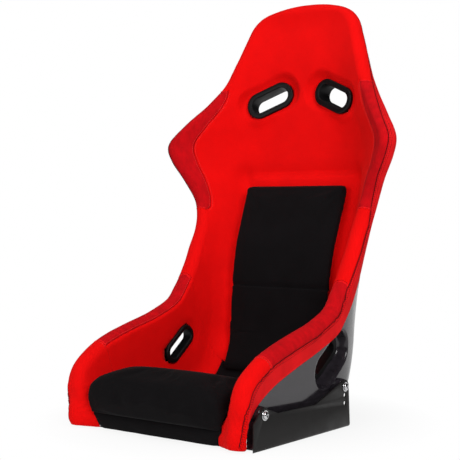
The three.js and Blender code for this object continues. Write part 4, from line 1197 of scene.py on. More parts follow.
class Covers:
    """All the sewn panels and the edge bands."""

    def __init__(self, hand: Upholsterer) -> None:
        """Keeps the upholsterer that presses each cover."""
        self.hand = hand
        self.made: list[bpy.types.Object] = []

    def keep(self, piece: bpy.types.Object, node: str, fill: float = 0.9) -> None:
        """Mounts a finished cover in place of its solid."""
        self.made.append(mount(piece, "shell", node, fill=fill))

    def build(self) -> None:
        """Builds every cover of the seat."""
        self.pan()
        self.back()
        self.upper_band()
        for side in Side:
            self.bolster(side)
            self.wing(side)

    def pan(self) -> None:
        """The black cloth over the pan and the lip."""
        rows = rows_through([0, 0.6, HIP_SEAM], 5 * MM)
        patch = Patch(rows, lambda u: spread(72, -PAN_SEAM, PAN_SEAM, 0.75), capped=True, rounding=0.05)
        self.keep(self.hand.sew("pan_cover", [patch], BLACK_KNIT), "pan_cover", 0.7)

    def back(self) -> None:
        """The red cloth over the back and the head rest, cut out for the shoulder guides."""
        low = rows_through([HIP_SEAM, TRIM_START], 4.6 * MM)
        middle = rows_through([TRIM_START, TRIM_END], 4.6 * MM)
        high = rows_through([TRIM_END, TOP], 4.6 * MM, 0.6)

        def edge(u: float) -> float:
            """Main patch's outer column."""
            return trim_edge(u) if TRIM_START < u < TRIM_END else 3.0

        rows = low + middle[1:] + high[1:]
        patches = [Patch(rows, lambda u: spread(170, -edge(u), edge(u), 0.72))]
        for stretch in (low, high):
            patches += [Patch(stretch, strip(side, steady(3.0), band_seam, 12, 0.5)) for side in Side]
        piece = self.hand.sew("back_cover", patches, RED_KNIT, self.hand.slots["shoulder"])
        self.keep(piece, "back_cover")

    def upper_band(self) -> None:
        """The band round the back's rim."""
        rows = rows_through([HIP_SEAM, TRIM_START, TRIM_END, TOP], 5 * MM, 0.5)
        patches = [Patch(rows, strip(side, band_seam, steady(BAND_END), 20, 0.6)) for side in Side]
        self.keep(self.hand.sew("upper_rim_band", patches, RED_BAND), "upper_rim_band", 0.6)

    def bolster(self, side: Side) -> None:
        """The nose cover, side cover, trim and band of one thigh bolster."""
        pan, crest, end = steady(PAN_SEAM), steady(CREST_SEAM), steady(BAND_END)
        nose_rows = rows_through([0, 0.6, NOSE_SEAM], 3 * MM, 0.6)
        thigh_rows = rows_through([NOSE_SEAM, HIP_SEAM], 3.6 * MM)
        band_rows = rows_through([0, 0.6, HIP_SEAM], 4 * MM, 0.6)
        nose = Patch(nose_rows, strip(side, pan, band_seam, 80), capped=True, rounding=0.3)
        cloth = Patch(thigh_rows, strip(side, pan, crest, 66))
        trim = Patch(thigh_rows, strip(side, crest, band_seam, 32))
        band = Patch(band_rows, strip(side, band_seam, end, 18, 0.6), capped=True)
        lap = self.hand.slots["lap"]
        for node, patch, finish, fill, seat in (
            ("nose_cover", nose, RED_KNIT, 0.9, None),
            ("side_cover", cloth, RED_KNIT, 0.9, lap),
            ("thigh_trim", trim, RED_SUEDE, 0.9, None),
            ("lower_rim_band", band, RED_BAND, 0.6, None),
        ):
            name = f"{side.word}_{node}"
            self.keep(self.hand.sew(name, [patch], finish, seat, 7.5 * MM), name, fill)

    def wing(self, side: Side) -> None:
        """The suede trim over one shoulder wing."""
        rows = rows_through([TRIM_START, TRIM_END], 3.2 * MM)
        patch = Patch(rows, strip(side, trim_edge, band_seam, 44, 0.7))
        name = side.word + "_wing_trim"
        self.keep(self.hand.sew(name, [patch], RED_SUEDE), name)


# ------------------------------------------------------------------ stitching and piping
class Needle:
    """Lays threads on the finished covers."""

    PITCH = 4.6 * MM
    LENGTH = 3.3 * MM
    RADIUS = 0.5 * MM

    def __init__(self, covers: Sequence[bpy.types.Object]) -> None:
        """Takes the covers that the threads lie on."""
        joined = bmesh.new()
        for piece in covers:
            joined.from_mesh(piece.data)
        self.tree = BVHTree.FromBMesh(joined)
        joined.free()

    def drop(self, point: Vector) -> tuple[Vector, Vector]:
        """Nearest point on the covers, and the way out there."""
        place, normal, _, _ = self.tree.find_nearest(point)
        return place, normal

    def stitch(self, name: str, rows: Sequence[Sequence[np.ndarray]],
               finish: Finish) -> bpy.types.Object:
        """Sews rows of single stitches.

        Args:
            name: Piece's name.
            rows: Each row's line, near the cover's face.
            finish: The thread.

        Returns:
            The stitches as one piece.
        """
        bm = bmesh.new()
        for row in rows:
            line = [Vector(p) for p in row]
            behind = 0.0
            for a, b in zip(line, line[1:]):
                step = b - a
                while behind < step.length:
                    self.one(bm, a + step * (behind / step.length), step.normalized())
                    behind += self.PITCH
                behind -= step.length
        return settle(name, bm, finish)

    def one(self, bm: bmesh.types.BMesh, point: Vector, along: Vector) -> None:
        """One stitch: a short rounded thread, its ends sunk in the cloth."""
        place, normal = self.drop(point)
        x = (along - normal * along.dot(normal)).normalized()
        y = normal.cross(x)
        turn = Matrix((x, y, normal)).transposed().to_4x4()
        turn.translation = place + normal * 0.1 * MM
        size = Matrix.Diagonal((self.LENGTH / 2, self.RADIUS, self.RADIUS, 1))
        bmesh.ops.create_uvsphere(bm, u_segments=6, v_segments=5, radius=1.0,
                                  matrix=turn @ size @ Matrix.Rotation(math.pi / 2, 4, "Y"))

    def cord(self, name: str, line: Sequence[np.ndarray], radius: float,
             finish: Finish) -> bpy.types.Object:
        """Lays a round piping cord along a line on the covers."""
        places = []
        for p in line:
            place, normal = self.drop(Vector(p))
            places.append((place + normal * radius * 0.35, normal))

        def put(k: int, angle: float) -> Vector:
            """A vertex of ring k; the first and the last ring are drawn in."""
            place, normal = places[k]
            ahead = places[min(k + 1, len(places) - 1)][0] - places[max(k - 1, 0)][0]
            x = normal.cross(ahead.normalized()).normalized()
            end = 0.25 if k in (0, len(places) - 1) else 1.0
            return place + (x * math.cos(angle) + normal * math.sin(angle)) * radius * end

        return settle(name, run_profile(10, len(places), put, closed=False), finish, 50)


class Threadwork:
    """Every visible row of stitches, the piping at the ends of the thigh trims, and along each band
    seam a dark cord that is painted shade for the seam's groove.
    """

    OFFSET = 3.2 * MM

    def __init__(self, needle: Needle) -> None:
        """Keeps the needle."""
        self.needle = needle

    def rows(self, stops: Sequence[Point], offsets: Sequence[float],
             lengthways: bool) -> list[list[np.ndarray]]:
        """Rows beside a seam.

        Args:
            stops: The seam, by station and column.
            offsets: Each row's distance from it, in metres, with its side as the sign.
            lengthways: True if the seam runs along the stations.

        Returns:
            Each row's points.
        """
        made = []
        for offset in offsets:
            row = []
            for u, q in stops:
                du, dq = (0.0, math.copysign(0.04, q)) if lengthways else (0.03, 0.0)
                share = offset / float(np.linalg.norm(face(u + du, q + dq) - face(u, q)))
                row.append(face(u + du * share, q + dq * share))
            made.append(row)
        return made

    def build(self) -> None:
        """Sews both sides."""
        near = self.OFFSET
        ring = spread(90, 0, 1)
        hip_rows: list[list[np.ndarray]] = []
        band_rows: list[list[np.ndarray]] = []
        for side in Side:
            sign, word = side.value, side.word
            crest = [(lerp(NOSE_SEAM + 0.06, HIP_SEAM - 0.06, t), sign * CREST_SEAM) for t in ring]
            self.show(word + "_thigh_stitching", self.rows(crest, (near,), True), PALE_THREAD)
            inner = [lerp(TRIM_START + 0.08, TRIM_END - 0.08, t) for t in ring]
            edge = [(u, sign * trim_edge(u)) for u in inner]
            self.show(word + "_wing_stitching", self.rows(edge, (-near, near), True), PALE_THREAD)
            nose = [(NOSE_SEAM, sign * lerp(CREST_SEAM, band_seam(NOSE_SEAM) - 0.05, t)) for t in ring]
            self.show(word + "_nose_stitching", self.rows(nose, (-near,), False), PALE_THREAD)
            hip = [(HIP_SEAM, sign * lerp(CREST_SEAM, band_seam(HIP_SEAM) - 0.05, t)) for t in ring]
            hip_rows += self.rows(hip, (near,), False)
            band = [(u, sign * stitched_line(u)) for u in spread(270, 0.1, TOP)]
            band_rows += self.rows(band, (2.8 * MM, 6.4 * MM), True)
            # Painted shade: a dark thread-coloured cord along each band seam stands in for the shade in
            # its shallow groove.
            laid = [face(*stop) for stop in band]
            mount(self.needle.cord(word + "_band_seam_cord", laid, 0.9 * MM, THREAD_AND_SEAM_SHADE), "shell")
            for label, u in (("hip", HIP_SEAM), ("nose", NOSE_SEAM), ("waist", TRIM_START),
                             ("neck", TRIM_END)):
                first = CREST_SEAM if u <= HIP_SEAM else 3.05
                line = [face(u, sign * lerp(first, band_seam(u), t)) for t in spread(28, 0, 1)]
                piping = self.needle.cord(word + "_" + label + "_trim_piping", line, 1.4 * MM, RED_BAND)
                mount(piping, "shell")
        self.show("hip_stitching", hip_rows, THREAD_AND_SEAM_SHADE)
        self.show("rim_band_stitching", band_rows, THREAD_AND_SEAM_SHADE)

    def show(self, name: str, rows: Sequence[Sequence[np.ndarray]], finish: Finish) -> None:
        """Sews and mounts rows as one piece."""
        mount(self.needle.stitch(name, rows, finish), "shell")


# ------------------------------------------------------------------ shell
@dataclass
class Shell:
    """The moulded laminate shell, with its bosses, its pads and the recess round each lap slot."""

    hand: Upholsterer
    wall: float = 4.0 * MM
    boss_radius: float = 15 * MM
    boss_face: float = (THIGH_CREST + THIGH_RADIUS) * MM
    bolts: tuple[Point, ...] = ((49 * MM, 81 * MM), (-222 * MM, 64 * MM))
    skirt: tuple[float, float, float, float] = (-243 * MM, -208 * MM, 4 * MM, 54 * MM)
    fillet: float = 5 * MM

    def build(self) -> bpy.types.Object:
        """Lofts the outside, shapes its features, opens the slots and adds the wall inwards."""
        rows = spread(26, 0.35, 2.4) + spread(52, 2.4, 5.2)[1:] + spread(96, 5.2, 8.4)[1:]
        rows += spread(58, 8.4, 17)[1:] + spread(46, 17, 21.4)[1:] + spread(46, 21.4, TOP)[1:]
        half = spread(12, 0, 1)[:-1] + spread(14, 1, 2)[:-1] + spread(52, 2, 3)
        columns = [-q for q in reversed(half[1:])] + half
        bm, grid = grid_of(len(rows), len(columns))
        for u, line in zip(rows, grid):
            s = section(u)
            for q, v in zip(columns, line):
                flat = s.shell_line(abs(q)) - s.shell_normal(abs(q)) * SHELL_WALL
                v.co = self.shape(Vector(s.space(flat, q < 0)), abs(q))
        bmesh.ops.remove_doubles(bm, verts=bm.verts, dist=0.05 * MM)
        inside = Vector((0, 0.1, 0.35))
        bm.normal_update()
        if sum(f.normal.dot(f.calc_center_median() - inside) * f.calc_area() for f in bm.faces) < 0:
            bmesh.ops.reverse_faces(bm, faces=bm.faces)
        lost = []
        for v in bm.verts:
            for seat in self.hand.slots.values():
                local = seat.local(v.co)
                if abs(local.z) < 60 * MM and seat.sleeve.distance(local.x, local.y) < 1.2 * MM:
                    lost.append(v)
                    break
        bmesh.ops.delete(bm, geom=lost, context="VERTS")
        piece = settle("seat_shell_moulded", bm, LAMINATE, 62)
        hem(piece, self.wall)
        thin = piece.vertex_groups.new(name="wall")
        for v in piece.data.vertices:
            lip = smoothstep((v.co.z - 24 * MM) / (12 * MM)) if v.co.y < -0.236 else 1.0
            thin.add([v.index], lerp(0.25, 1.0, lip), "REPLACE")
        piece.modifiers["thickness"].vertex_group = "wall"
        bake(piece)
        piece.vertex_groups.clear()
        self.add_pads(piece)
        return mount(piece, "shell", "seat_shell")

    def add_pads(self, piece: bpy.types.Object) -> None:
        """Adds the bolt bosses and the pads behind the nose, each as its own closed body."""
        bm = bmesh.new()
        bm.from_mesh(piece.data)
        front, rear, low, high = self.skirt
        depth, skirt_depth = 20 * MM, 21 * MM
        for side in Side:
            sign = side.value
            for y, z in self.bolts:
                spot = Matrix.Translation((sign * (self.boss_face - depth / 2), y + FORWARD, z))
                turn = Matrix.Rotation(sign * math.pi / 2, 4, "Y")
                made = bmesh.ops.create_cone(bm, cap_ends=True, segments=48, depth=depth,
                                             radius1=self.boss_radius + 2 * MM,
                                             radius2=self.boss_radius, matrix=spot @ turn)
                self.soften(bm, made["verts"], sign)
            across = sign * (self.boss_face - skirt_depth / 2)
            spot = Matrix.Translation((across, (front + rear) / 2 + FORWARD, (low + high) / 2))
            size = Matrix.Diagonal((skirt_depth, rear - front, high - low, 1))
            made = bmesh.ops.create_cube(bm, size=1.0, matrix=spot @ size)
            self.soften(bm, made["verts"], sign)
        bm.to_mesh(piece.data)
        bm.free()

    def soften(self, bm: bmesh.types.BMesh, verts: Sequence[bmesh.types.BMVert], sign: int) -> None:
        """Rounds the edges round the outer face of a pad."""
        outer = [v for v in verts if v.co.x * sign > self.boss_face - 1 * MM]
        break_edges(bm, ring_edges(outer), 2 * MM, 3)

    def shape(self, p: Vector, q: float) -> Vector:
        """Moves a point of the plain outside to where the moulded features put it."""
        lap, shoulder = self.hand.slots["lap"], self.hand.slots["shoulder"]
        if q > 1.6 and p.z < 0.3:
            p = self.land(p, lap, RECESS_MARGIN, 2 * self.fillet, lap.land)
        if p.z > 0.5:
            p = self.land(p, shoulder, PAD_MARGIN, 3 * self.fillet, math.inf)
        return p

    def land(self, p: Vector, seat: SlotSeat, margin: float, blend: float, below: float) -> Vector:
        """Moves a point to the flat that a guide's rear ring bears on, if it lies under a height."""
        local = seat.local(p)
        gap = seat.ring.distance(local.x, local.y) - margin
        if gap >= blend or local.z >= below:
            return p
        local.z = lerp(local.z, seat.land - CONTACT, 1 - smoothstep(gap / blend))
        return seat.world(local, p.x)


# ------------------------------------------------------------------ harness guides
def guide_ring(profile: Sequence[Point], seat: SlotSeat, side: Side) -> bmesh.types.BMesh:
    """Runs a profile round a slot's hole.

    Args:
        profile: How far each point is grown out from the hole, and its height towards the occupant.
        seat: The slot.
        side: Side of the seat.

    Returns:
        The ring, in place.
    """
    def put(k: int, angle: float) -> tuple[float, float, float]:
        """A vertex of the profile's point k."""
        grow, height = profile[k]
        return (*seat.hole.point(angle / (2 * math.pi) + 0.25, grow), height)

    bm = run_profile(96, len(profile), put, closed=True)
    for v in bm.verts:
        v.co = seat.world(v.co, side.value)
    if side is Side.RIGHT:
        bmesh.ops.reverse_faces(bm, faces=bm.faces)
    return bm


def rounded(corners: Sequence[Point], radius: float, steps: int = 4) -> list[Point]:
    """A closed profile with each corner rounded."""
    made = []
    for k, corner in enumerate(corners):
        here = Vector(corner)
        before, after = Vector(corners[k - 1]), Vector(corners[(k + 1) % len(corners)])
        a = here + (before - here).normalized() * radius
        b = here + (after - here).normalized() * radius
        for t in spread(steps, 0, 1):
            made.append(tuple(a.lerp(here, t).lerp(here.lerp(b, t), t)))
    return made


class Guides:
    """The harness guides: a front ring with its sleeve, and the ring behind it."""

    def __init__(self, hand: Upholsterer) -> None:
        """Keeps the slots that the guides sit in."""
        self.slots = hand.slots

    def build(self) -> None:
        """Builds all four guides."""
        for side in Side:
            for seat in self.slots.values():
                self.front(seat, side)
                self.rear(seat, side)

    def front(self, seat: SlotSeat, side: Side) -> None:
        """Front ring, rounded over, with the sleeve down through the slot."""
        top = RING_HEIGHT - RING_SINK
        width = seat.ring.radius - seat.hole.radius
        end = seat.rear_face
        over, under_ring, tip = 0.4 * MM, -RING_SINK, end + 0.4 * MM
        profile = [
            (0.0, end), (0.0, top - 3.0 * MM), (0.35 * MM, top - 1.6 * MM), (1.3 * MM, top - 0.5 * MM),
            (2.6 * MM, top), (width - 3.4 * MM, top), (width - 1.8 * MM, top - 0.45 * MM),
            (width - 0.6 * MM, top - 1.5 * MM), (width, top - 3.0 * MM), (width, under_ring + over),
            (width - over, under_ring), (SLEEVE_WALL + over, under_ring),
            (SLEEVE_WALL, under_ring - over), (SLEEVE_WALL, tip), (SLEEVE_WALL - over, end),
            (over, end),
        ]
        self.fit(profile, seat, side, seat.node)

    def rear(self, seat: SlotSeat, side: Side) -> None:
        """Ring outside the shell, with its edge rounded over."""
        low, high = seat.rear_face, seat.land - CONTACT
        inner = SLEEVE_WALL + CONTACT
        outer = seat.ring.radius - seat.hole.radius
        corners = [(inner, low), (outer, low), (outer, high), (inner, high)]
        self.fit(rounded(corners, 1.2 * MM), seat, side, seat.rear_node)

    def fit(self, profile: Sequence[Point], seat: SlotSeat, side: Side, node: str) -> None:
        """Moulds one ring and mounts it for its solid."""
        name = f"{side.word}_{node}"
        mount(settle(name + "_moulded", guide_ring(profile, seat, side), PLASTIC, 50), "shell", name)


# ------------------------------------------------------------------ brackets and fixings
class Brackets:
    """The bent steel brackets, taken over from their solids with a worn edge."""

    EDGE = 0.5 * MM

    def build(self) -> None:
        """Bevels a merged copy of each bracket's solid."""
        for side in Side:
            name = side.word + "_side_bracket"
            bm = bmesh.new()
            bm.from_mesh(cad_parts[name].data)
            bmesh.ops.remove_doubles(bm, verts=bm.verts, dist=0.01 * MM)
            bmesh.ops.dissolve_limit(bm, angle_limit=math.radians(0.6), verts=bm.verts, edges=bm.edges)
            sharp = [e for e in bm.edges
                     if len(e.link_faces) == 2 and e.calc_face_angle(0) > math.radians(50)]
            break_edges(bm, sharp, self.EDGE, 2)
            mount(settle(name + "_coated", bm, COATED_STEEL, 28), "shell", name)


@dataclass
class Fixings:
    """The button-head screws and washers."""

    head_radius: float = 7 * MM
    head_height: float = 4.4 * MM
    shank: float = 4 * MM
    socket: float = 2.6 * MM
    socket_depth: float = 2.4 * MM
    segments: int = 48

    def build(self) -> None:
        """Builds each screw and washer where its solid lies."""
        for side in Side:
            for end in ("front", "rear"):
                self.screw(side, f"{side.word}_{end}_bolt")
                self.washer(side, f"{side.word}_{end}_washer")

    def lathe(self, loops: Sequence[tuple[float, float, bool]], closed: bool) -> bmesh.types.BMesh:
        """Turns a profile about X.

        Args:
            loops: Radius and height of each loop, and whether it is a hexagon.
            closed: True if the last loop joins the first, as on a ring.

        Returns:
            The turned mesh, standing on the origin.
        """
        def put(k: int, angle: float) -> tuple[float, float, float]:
            """A vertex of loop k."""
            radius, height, hexagon = loops[k]
            if hexagon:
                radius /= math.cos((angle + math.pi / 6) % (math.pi / 3) - math.pi / 6)
            return height, radius * math.cos(angle), radius * math.sin(angle)

        return run_profile(self.segments, len(loops), put, closed)

    def fit(self, bm: bmesh.types.BMesh, side: Side, node: str) -> None:
        """Moves a turned part to its node's inner end, mirrors it for the right side and mounts it."""
        low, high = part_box(node)
        inner = low.x if side is Side.LEFT else -high.x
        bmesh.ops.translate(bm, vec=(inner, (low.y + high.y) / 2, (low.z + high.z) / 2), verts=bm.verts)
        if side is Side.RIGHT:
            bmesh.ops.scale(bm, vec=(-1, 1, 1), verts=bm.verts)
            bmesh.ops.reverse_faces(bm, faces=bm.faces)
        mount(settle(node + "_turned", bm, BRIGHT_STEEL, 32), "shell", node)

    def screw(self, side: Side, node: str) -> None:
        """Button head with a hexagonal socket, on its shank."""
        low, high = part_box(node)
        length = high.x - low.x
        seat = length - self.head_height
        loops = [(self.shank - 1 * MM, 0.0, False), (self.shank, 1 * MM, False),
                 (self.shank, seat, False), (self.head_radius - 0.3 * MM, seat, False),
                 (self.head_radius, seat + 0.3 * MM, False), (self.head_radius, seat + 0.9 * MM, False)]
        for angle in (15, 30, 45, 58, 68):
            a = math.radians(angle)
            rise = (self.head_height - 0.9 * MM) * math.sin(a) / math.sin(math.radians(68))
            loops.append((self.head_radius * math.cos(a) ** 0.8, seat + 0.9 * MM + rise, False))
        loops += [(self.socket + 0.75 * MM, length, False),
                  (self.socket + 0.25 * MM, length - 0.1 * MM, True),
                  (self.socket, length - 0.4 * MM, True),
                  (self.socket, length - self.socket_depth, True)]
        self.fit(self.lathe(loops, closed=False), side, node)

    def washer(self, side: Side, node: str) -> None:
        """Flat washer with its outer edge broken."""
        low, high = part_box(node)
        thick, outer = high.x - low.x, (high.z - low.z) / 2
        inner, edge = self.shank + 0.4 * MM, 0.3 * MM
        loops = [(inner, 0.0, False), (outer, 0.0, False), (outer, thick - edge, False),
                 (outer - edge, thick, False), (inner + edge, thick, False),
                 (inner, thick - edge, False)]
        self.fit(self.lathe(loops, closed=True), side, node)


class HiddenParts:
    """The threaded inserts and the hook-and-loop strips, whose solids are right as they are."""

    def build(self) -> None:
        """Gives each solid its finish."""
        for name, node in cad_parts.items():
            finish = {"insert": PLAIN_BRASS, "strip": TAPE}.get(name.rsplit("_", 1)[-1])
            if finish:
                node.data.materials.clear()
                node.data.materials.append(finish.material())
                LOG.info("%s: kept", name)


# ------------------------------------------------------------------ cushions
def rounded_edge(t: float, power: float) -> float:
    """0 at the edge, 1 a little way in; power 2 is a full round and more is squarer."""
    return max(0.0, 1 - min(abs(t), 1.0) ** power) ** (1 / power)


@dataclass
class Cushion:
    """A lift-off cushion that lies on the covered shell."""

    name: str
    start: float
    end: float
    thick: Callable[[float, float], float]
    half: Callable[[float], float]
    side_wall: float = 7 * MM
    lift: float = 3.8 * MM
    voxel: float = 5 * MM
    swell: float = 6 * MM
    frames: int = 20

    def build(self) -> bpy.types.Object:
        """Shapes the foam, inflates the cover over it and smooths the result."""
        bm = self.foam()
        piece = settle(self.name + "_inflated", bm, BLACK_KNIT)
        self.inflate(piece)
        self.soften(piece)
        return piece

    def foam(self) -> bmesh.types.BMesh:
        """The cushion's closed form: a face and an underside, bridged round the edge."""
        rows = spread(70, self.start, self.end, 0.85)
        across = spread(64, -1, 1, 0.85)
        bm, grid = grid_of(len(rows), len(across))
        unders: dict[bmesh.types.BMVert, Vector] = {}
        for u, line in zip(rows, grid):
            s = section(u)
            for c, v in zip(across, line):
                lying = self.lying(u, c)
                top = max(lying[1] + self.side_wall, s.padding + self.lift + self.thick(u, c))
                v.co = Vector(s.space(np.array([lying[0], top]), c < 0))
                unders[v] = Vector(s.space(lying, c < 0))
        base = bmesh.ops.duplicate(bm, geom=bm.verts[:] + bm.edges[:] + bm.faces[:])
        pairs = base["vert_map"]
        for v, under_point in unders.items():
            pairs[v].co = under_point
        lower = [g for g in base["geom"] if isinstance(g, bmesh.types.BMFace)]
        bmesh.ops.reverse_faces(bm, faces=lower)
        rim = [e for e in bm.edges if e.is_boundary]
        bmesh.ops.bridge_loops(bm, edges=rim)
        bmesh.ops.recalc_face_normals(bm, faces=bm.faces)
        return bm

    def lying(self, u: float, c: float) -> np.ndarray:
        """Point of the underside in its section, at a share of the half width."""
        x = abs(c) * self.half(u)
        return np.array([x, height_at(section(u), x) + self.lift])

    def inflate(self, piece: bpy.types.Object) -> None:
        """Blows the cover up as cloth, with its underside held, and limits how far it moves."""
        under_tree = BVHTree.FromPolygons(*self.underside())
        remesh = piece.modifiers.new("even", "REMESH")
        remesh.mode = "VOXEL"
        remesh.voxel_size = self.voxel
        remesh.use_smooth_shade = True
        bake(piece)
        rest = [v.co.copy() for v in piece.data.vertices]
        held = piece.vertex_groups.new(name="held")
        for v in piece.data.vertices:
            gap = under_tree.find_nearest(v.co)[3]
            held.add([v.index], 1.0 if gap < 2.5 * MM else 0.0, "REPLACE")
        cloth = piece.modifiers.new("cloth", "CLOTH")
        cloth.settings.use_pressure = True
        cloth.settings.uniform_pressure_force = 4.0
        cloth.settings.effector_weights.gravity = 0.0
        cloth.settings.vertex_group_mass = "held"
        cloth.settings.quality = 5
        cloth.point_cache.frame_start, cloth.point_cache.frame_end = 1, self.frames
        for step in range(1, self.frames + 1):
            bpy.context.scene.frame_set(step)
        bake(piece)
        bpy.context.scene.frame_set(1)
        for v, home in zip(piece.data.vertices, rest):
            move = v.co - home
            if move.length > self.swell:
                v.co = home + move * (self.swell / move.length)
        piece.vertex_groups.clear()

    def underside(self) -> tuple[list[Vector], list[tuple[int, ...]]]:
        """The underside as points and quads, to find what rests on the seat."""
        rows, columns = spread(30, self.start, self.end), spread(24, -1, 1)
        points = [Vector(section(u).space(self.lying(u, c), c < 0)) for u in rows for c in columns]
        n = len(columns)
        quads = [(i * n + j, i * n + j + 1, (i + 1) * n + j + 1, (i + 1) * n + j)
                 for i in range(len(rows) - 1) for j in range(n - 1)]
        return points, quads

    def soften(self, piece: bpy.types.Object) -> None:
        """One subdivision over the finished form."""
        fine = piece.modifiers.new("fine", "SUBSURF")
        fine.levels = fine.render_levels = 1
        bake(piece)
        for polygon in piece.data.polygons:
            polygon.use_smooth = True


@dataclass(frozen=True)
class Cushions:
    """The seat cushion with its front roll, and the back cushion with its channel."""

    seat_span: Point = (0.95, 7.55)
    seat_half: float = 167 * MM
    seat_edge: float = 7 * MM
    roll: float = 70 * MM
    rear: float = 28 * MM
    crown: float = 4 * MM
    back_span: Point = (8.4, 14.95)
    back_foot: float = 124 * MM
    back_head: float = 131 * MM
    back_edge: float = 7 * MM
    back_thick: float = 15 * MM
    corner: float = 12 * MM
    channel: float = 10.75
    channel_depth: float = 12 * MM
    channel_half: float = 9 * MM

    def build(self) -> None:
        """Builds both cushions and their sewing."""
        self.seat()
        self.back()

    def seat(self) -> None:
        """Thick at the front roll, thinner under the thighs."""
        start, end = self.seat_span

        def thick(u: float, c: float) -> float:
            """Height of the face over the padding's level."""
            t = (u - start) / (end - start)
            depth = lerp(self.roll, self.rear, min(1.0, max(0.0, (t - 0.36) / 0.6)))
            edge = rounded_edge(c, 4.5) * rounded_edge(2 * t - 1, 7)
            return lerp(self.seat_edge, depth, edge) + self.crown * (1 - c * c) * edge - 3 * MM

        def half(u: float) -> float:
            """Half width, drawn in towards both ends."""
            t = (u - start) / (end - start)
            drawn = 15 * MM * (1 - rounded_edge(2 * t - 1, 5)) + 2 * MM * math.sin(math.pi * t)
            return self.seat_half - drawn

        cushion = Cushion("seat_cushion", start, end, thick, half)
        mount(cushion.build(), "seat_cushion", "seat_cushion", fill=0.85)

    def back(self) -> None:
        """An even pad with round upper corners."""
        start, end = self.back_span

        def thick(u: float, c: float) -> float:
            """Height of the face over the padding's level."""
            t = (u - start) / (end - start)
            return self.back_edge + self.back_thick * rounded_edge(c, 8) * rounded_edge(2 * t - 1, 14)

        def half(u: float) -> float:
            """Half width, with the corners turned in at the top."""
            t = (u - start) / (end - start)
            turn = max(0.0, 1 - (end - u) * 64 * MM / self.corner)
            wide = lerp(self.back_foot, self.back_head, min(1, t * 1.05))
            return wide - self.corner * (1 - math.sqrt(1 - turn * turn))

        piece = Cushion("back_cushion", start, end, thick, half, swell=4 * MM).build()
        self.sew_channel(piece)
        mount(piece, "back_cushion", "back_cushion", fill=0.7)

    def sew_channel(self, piece: bpy.types.Object) -> None:
        """Draws the face down along the channel across the back cushion."""
        s, ahead = section(self.channel), section(self.channel + 0.02)
        middle, next_on = (Vector(x.space(np.array([0.0, x.padding + 24 * MM]))) for x in (s, ahead))
        along, out, reach = (next_on - middle).normalized(), Vector(s.normal), 16 * MM
        for v in piece.data.vertices:
            local = v.co - middle
            gap = local.dot(along)
            if abs(gap) > reach or local.dot(out) < -reach:
                continue
            t = max(0.0, 1 - abs(gap) / self.channel_half)
            pucker = 0.6 * MM * math.sin(v.co.x * 2 * math.pi / 0.014 + 2 * noise.noise(v.co * 40))
            v.co -= out * ((self.channel_depth + pucker) * (1 - math.sqrt(1 - 0.98 * t * t)))


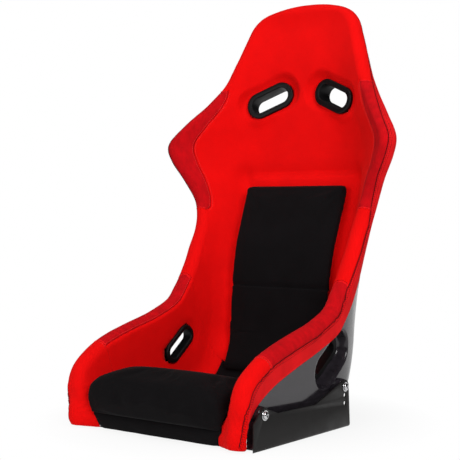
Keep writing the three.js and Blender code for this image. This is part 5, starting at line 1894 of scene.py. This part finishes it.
# ------------------------------------------------------------------ studio
@dataclass
class Studio:
    """The camera, the lamps, the floor and the white surroundings."""

    azimuth: float = 37.5
    elevation: float = 1.2
    distance: float = 2.345
    lens: float = 88.83
    target: tuple[float, float, float] = (-0.02, 0.0033, 0.388)
    floor_size: float = 6.0
    ambient: float = 0.24

    def build(self) -> None:
        """Sets everything up round the seat."""
        self.camera()
        self.lamps()
        self.floor()
        self.world()
        bpy.context.scene.view_settings.view_transform = "Standard"

    def back(self) -> Vector:
        """Way from the target to the camera."""
        a, e = math.radians(self.azimuth), math.radians(self.elevation)
        return Vector((math.sin(a) * math.cos(e), -math.cos(a) * math.cos(e), math.sin(e)))

    def camera(self) -> None:
        """Camera at the photograph's angle."""
        data = bpy.data.cameras.new("camera")
        data.lens = self.lens
        data.sensor_width = 36
        data.dof.use_dof = False
        camera = bpy.data.objects.new("camera", data)
        camera.location = Vector(self.target) + self.back() * self.distance
        camera.rotation_euler = self.back().to_track_quat("Z", "Y").to_euler()
        bpy.context.scene.collection.objects.link(camera)
        bpy.context.scene.camera = camera

    def lamp(self, name: str, azimuth: float, height: float, away: float, size: float,
             power: float) -> None:
        """A square soft box that faces the seat."""
        data = bpy.data.lights.new(name, "AREA")
        data.shape = "SQUARE"
        data.size = size
        data.energy = power
        lamp = bpy.data.objects.new(name, data)
        a = math.radians(azimuth)
        lamp.location = (away * math.sin(a), -away * math.cos(a), height)
        aim = Vector((0, 0, 0.42)) - lamp.location
        lamp.rotation_euler = aim.to_track_quat("-Z", "Y").to_euler()
        bpy.context.scene.collection.objects.link(lamp)

    def lamps(self) -> None:
        """A broad frontal key, a weaker fill and a top light."""
        self.lamp("key_light", 60, 1.75, 2.7, 1.2, 46)
        self.lamp("fill_light", -8, 1.1, 3.0, 1.6, 28)
        self.lamp("top_light", 25, 3.0, 0.6, 1.2, 18)

    def floor(self) -> None:
        """Pale floor that fades to the white background and keeps a soft shadow."""
        bm = bmesh.new()
        bmesh.ops.create_grid(bm, x_segments=8, y_segments=8, size=self.floor_size / 2)
        mesh = bpy.data.meshes.new("floor")
        bm.to_mesh(mesh)
        bm.free()
        board = NodeBoard(bpy.data.materials.new("pale_floor"))
        away = board.add("VectorMath", {"operation": "LENGTH"})
        board.put(away, 0, board.add("TexCoord").outputs["Object"])
        fade = board.ramp(away.outputs["Value"], 0.24, 0.42, 0.86, 1.0)
        path = board.add("LightPath").outputs
        seen = board.sum(path["Is Camera Ray"], path["Is Glossy Ray"], "MAXIMUM")
        seen = board.sum(seen, path["Is Transmission Ray"], "MAXIMUM")
        matt = board.add("BsdfDiffuse", Color=(0.82, 0.82, 0.82)).outputs[0]
        white = board.add("Emission", Color=PLAIN, Strength=1.0).outputs[0]
        mix = board.add("MixShader")
        for slot, value in enumerate((board.sum(seen, fade, "MULTIPLY"), matt, white)):
            board.put(mix, slot, value)
        board.add("OutputMaterial", Surface=mix.outputs[0])
        mesh.materials.append(board.owner)
        floor = bpy.data.objects.new("floor", mesh)
        bpy.context.scene.collection.objects.link(floor)

    def world(self) -> None:
        """White to the camera, dimmer as light, with dark flags in what glossy surfaces reflect."""
        world = bpy.data.worlds.new("studio")
        bpy.context.scene.world = world
        board = NodeBoard(world)
        path = board.add("LightPath").outputs
        clear = board.sum(path["Is Camera Ray"], path["Is Transmission Ray"], "MAXIMUM")
        way = board.add("TexCoord").outputs["Generated"]
        cloud = board.add("TexNoise", Vector=way, Scale=1.7, Detail=0.0).outputs[0]
        flags = board.ramp(cloud, 0.42, 0.52, 0.02, 0.08)
        light = board.ramp(clear, 0.0, 1.0, self.ambient, 1.0)
        strength = board.add("Mix", Factor=path["Is Glossy Ray"], A=light, B=flags).outputs[0]
        background = board.add("Background", Color=PLAIN, Strength=strength)
        board.add("OutputWorld", Surface=background.outputs[0])


def main() -> None:
    """Builds the seat's sub-assemblies in order, then the studio."""
    logging.basicConfig(level=logging.INFO, format="%(name)s %(message)s")
    hand = Upholsterer()
    covers = Covers(hand)
    covers.build()
    Threadwork(Needle(covers.made)).build()
    Shell(hand).build()
    Guides(hand).build()
    Brackets().build()
    Fixings().build()
    HiddenParts().build()
    Cushions().build()
    Studio().build()


if __name__ == "__main__":
    main()
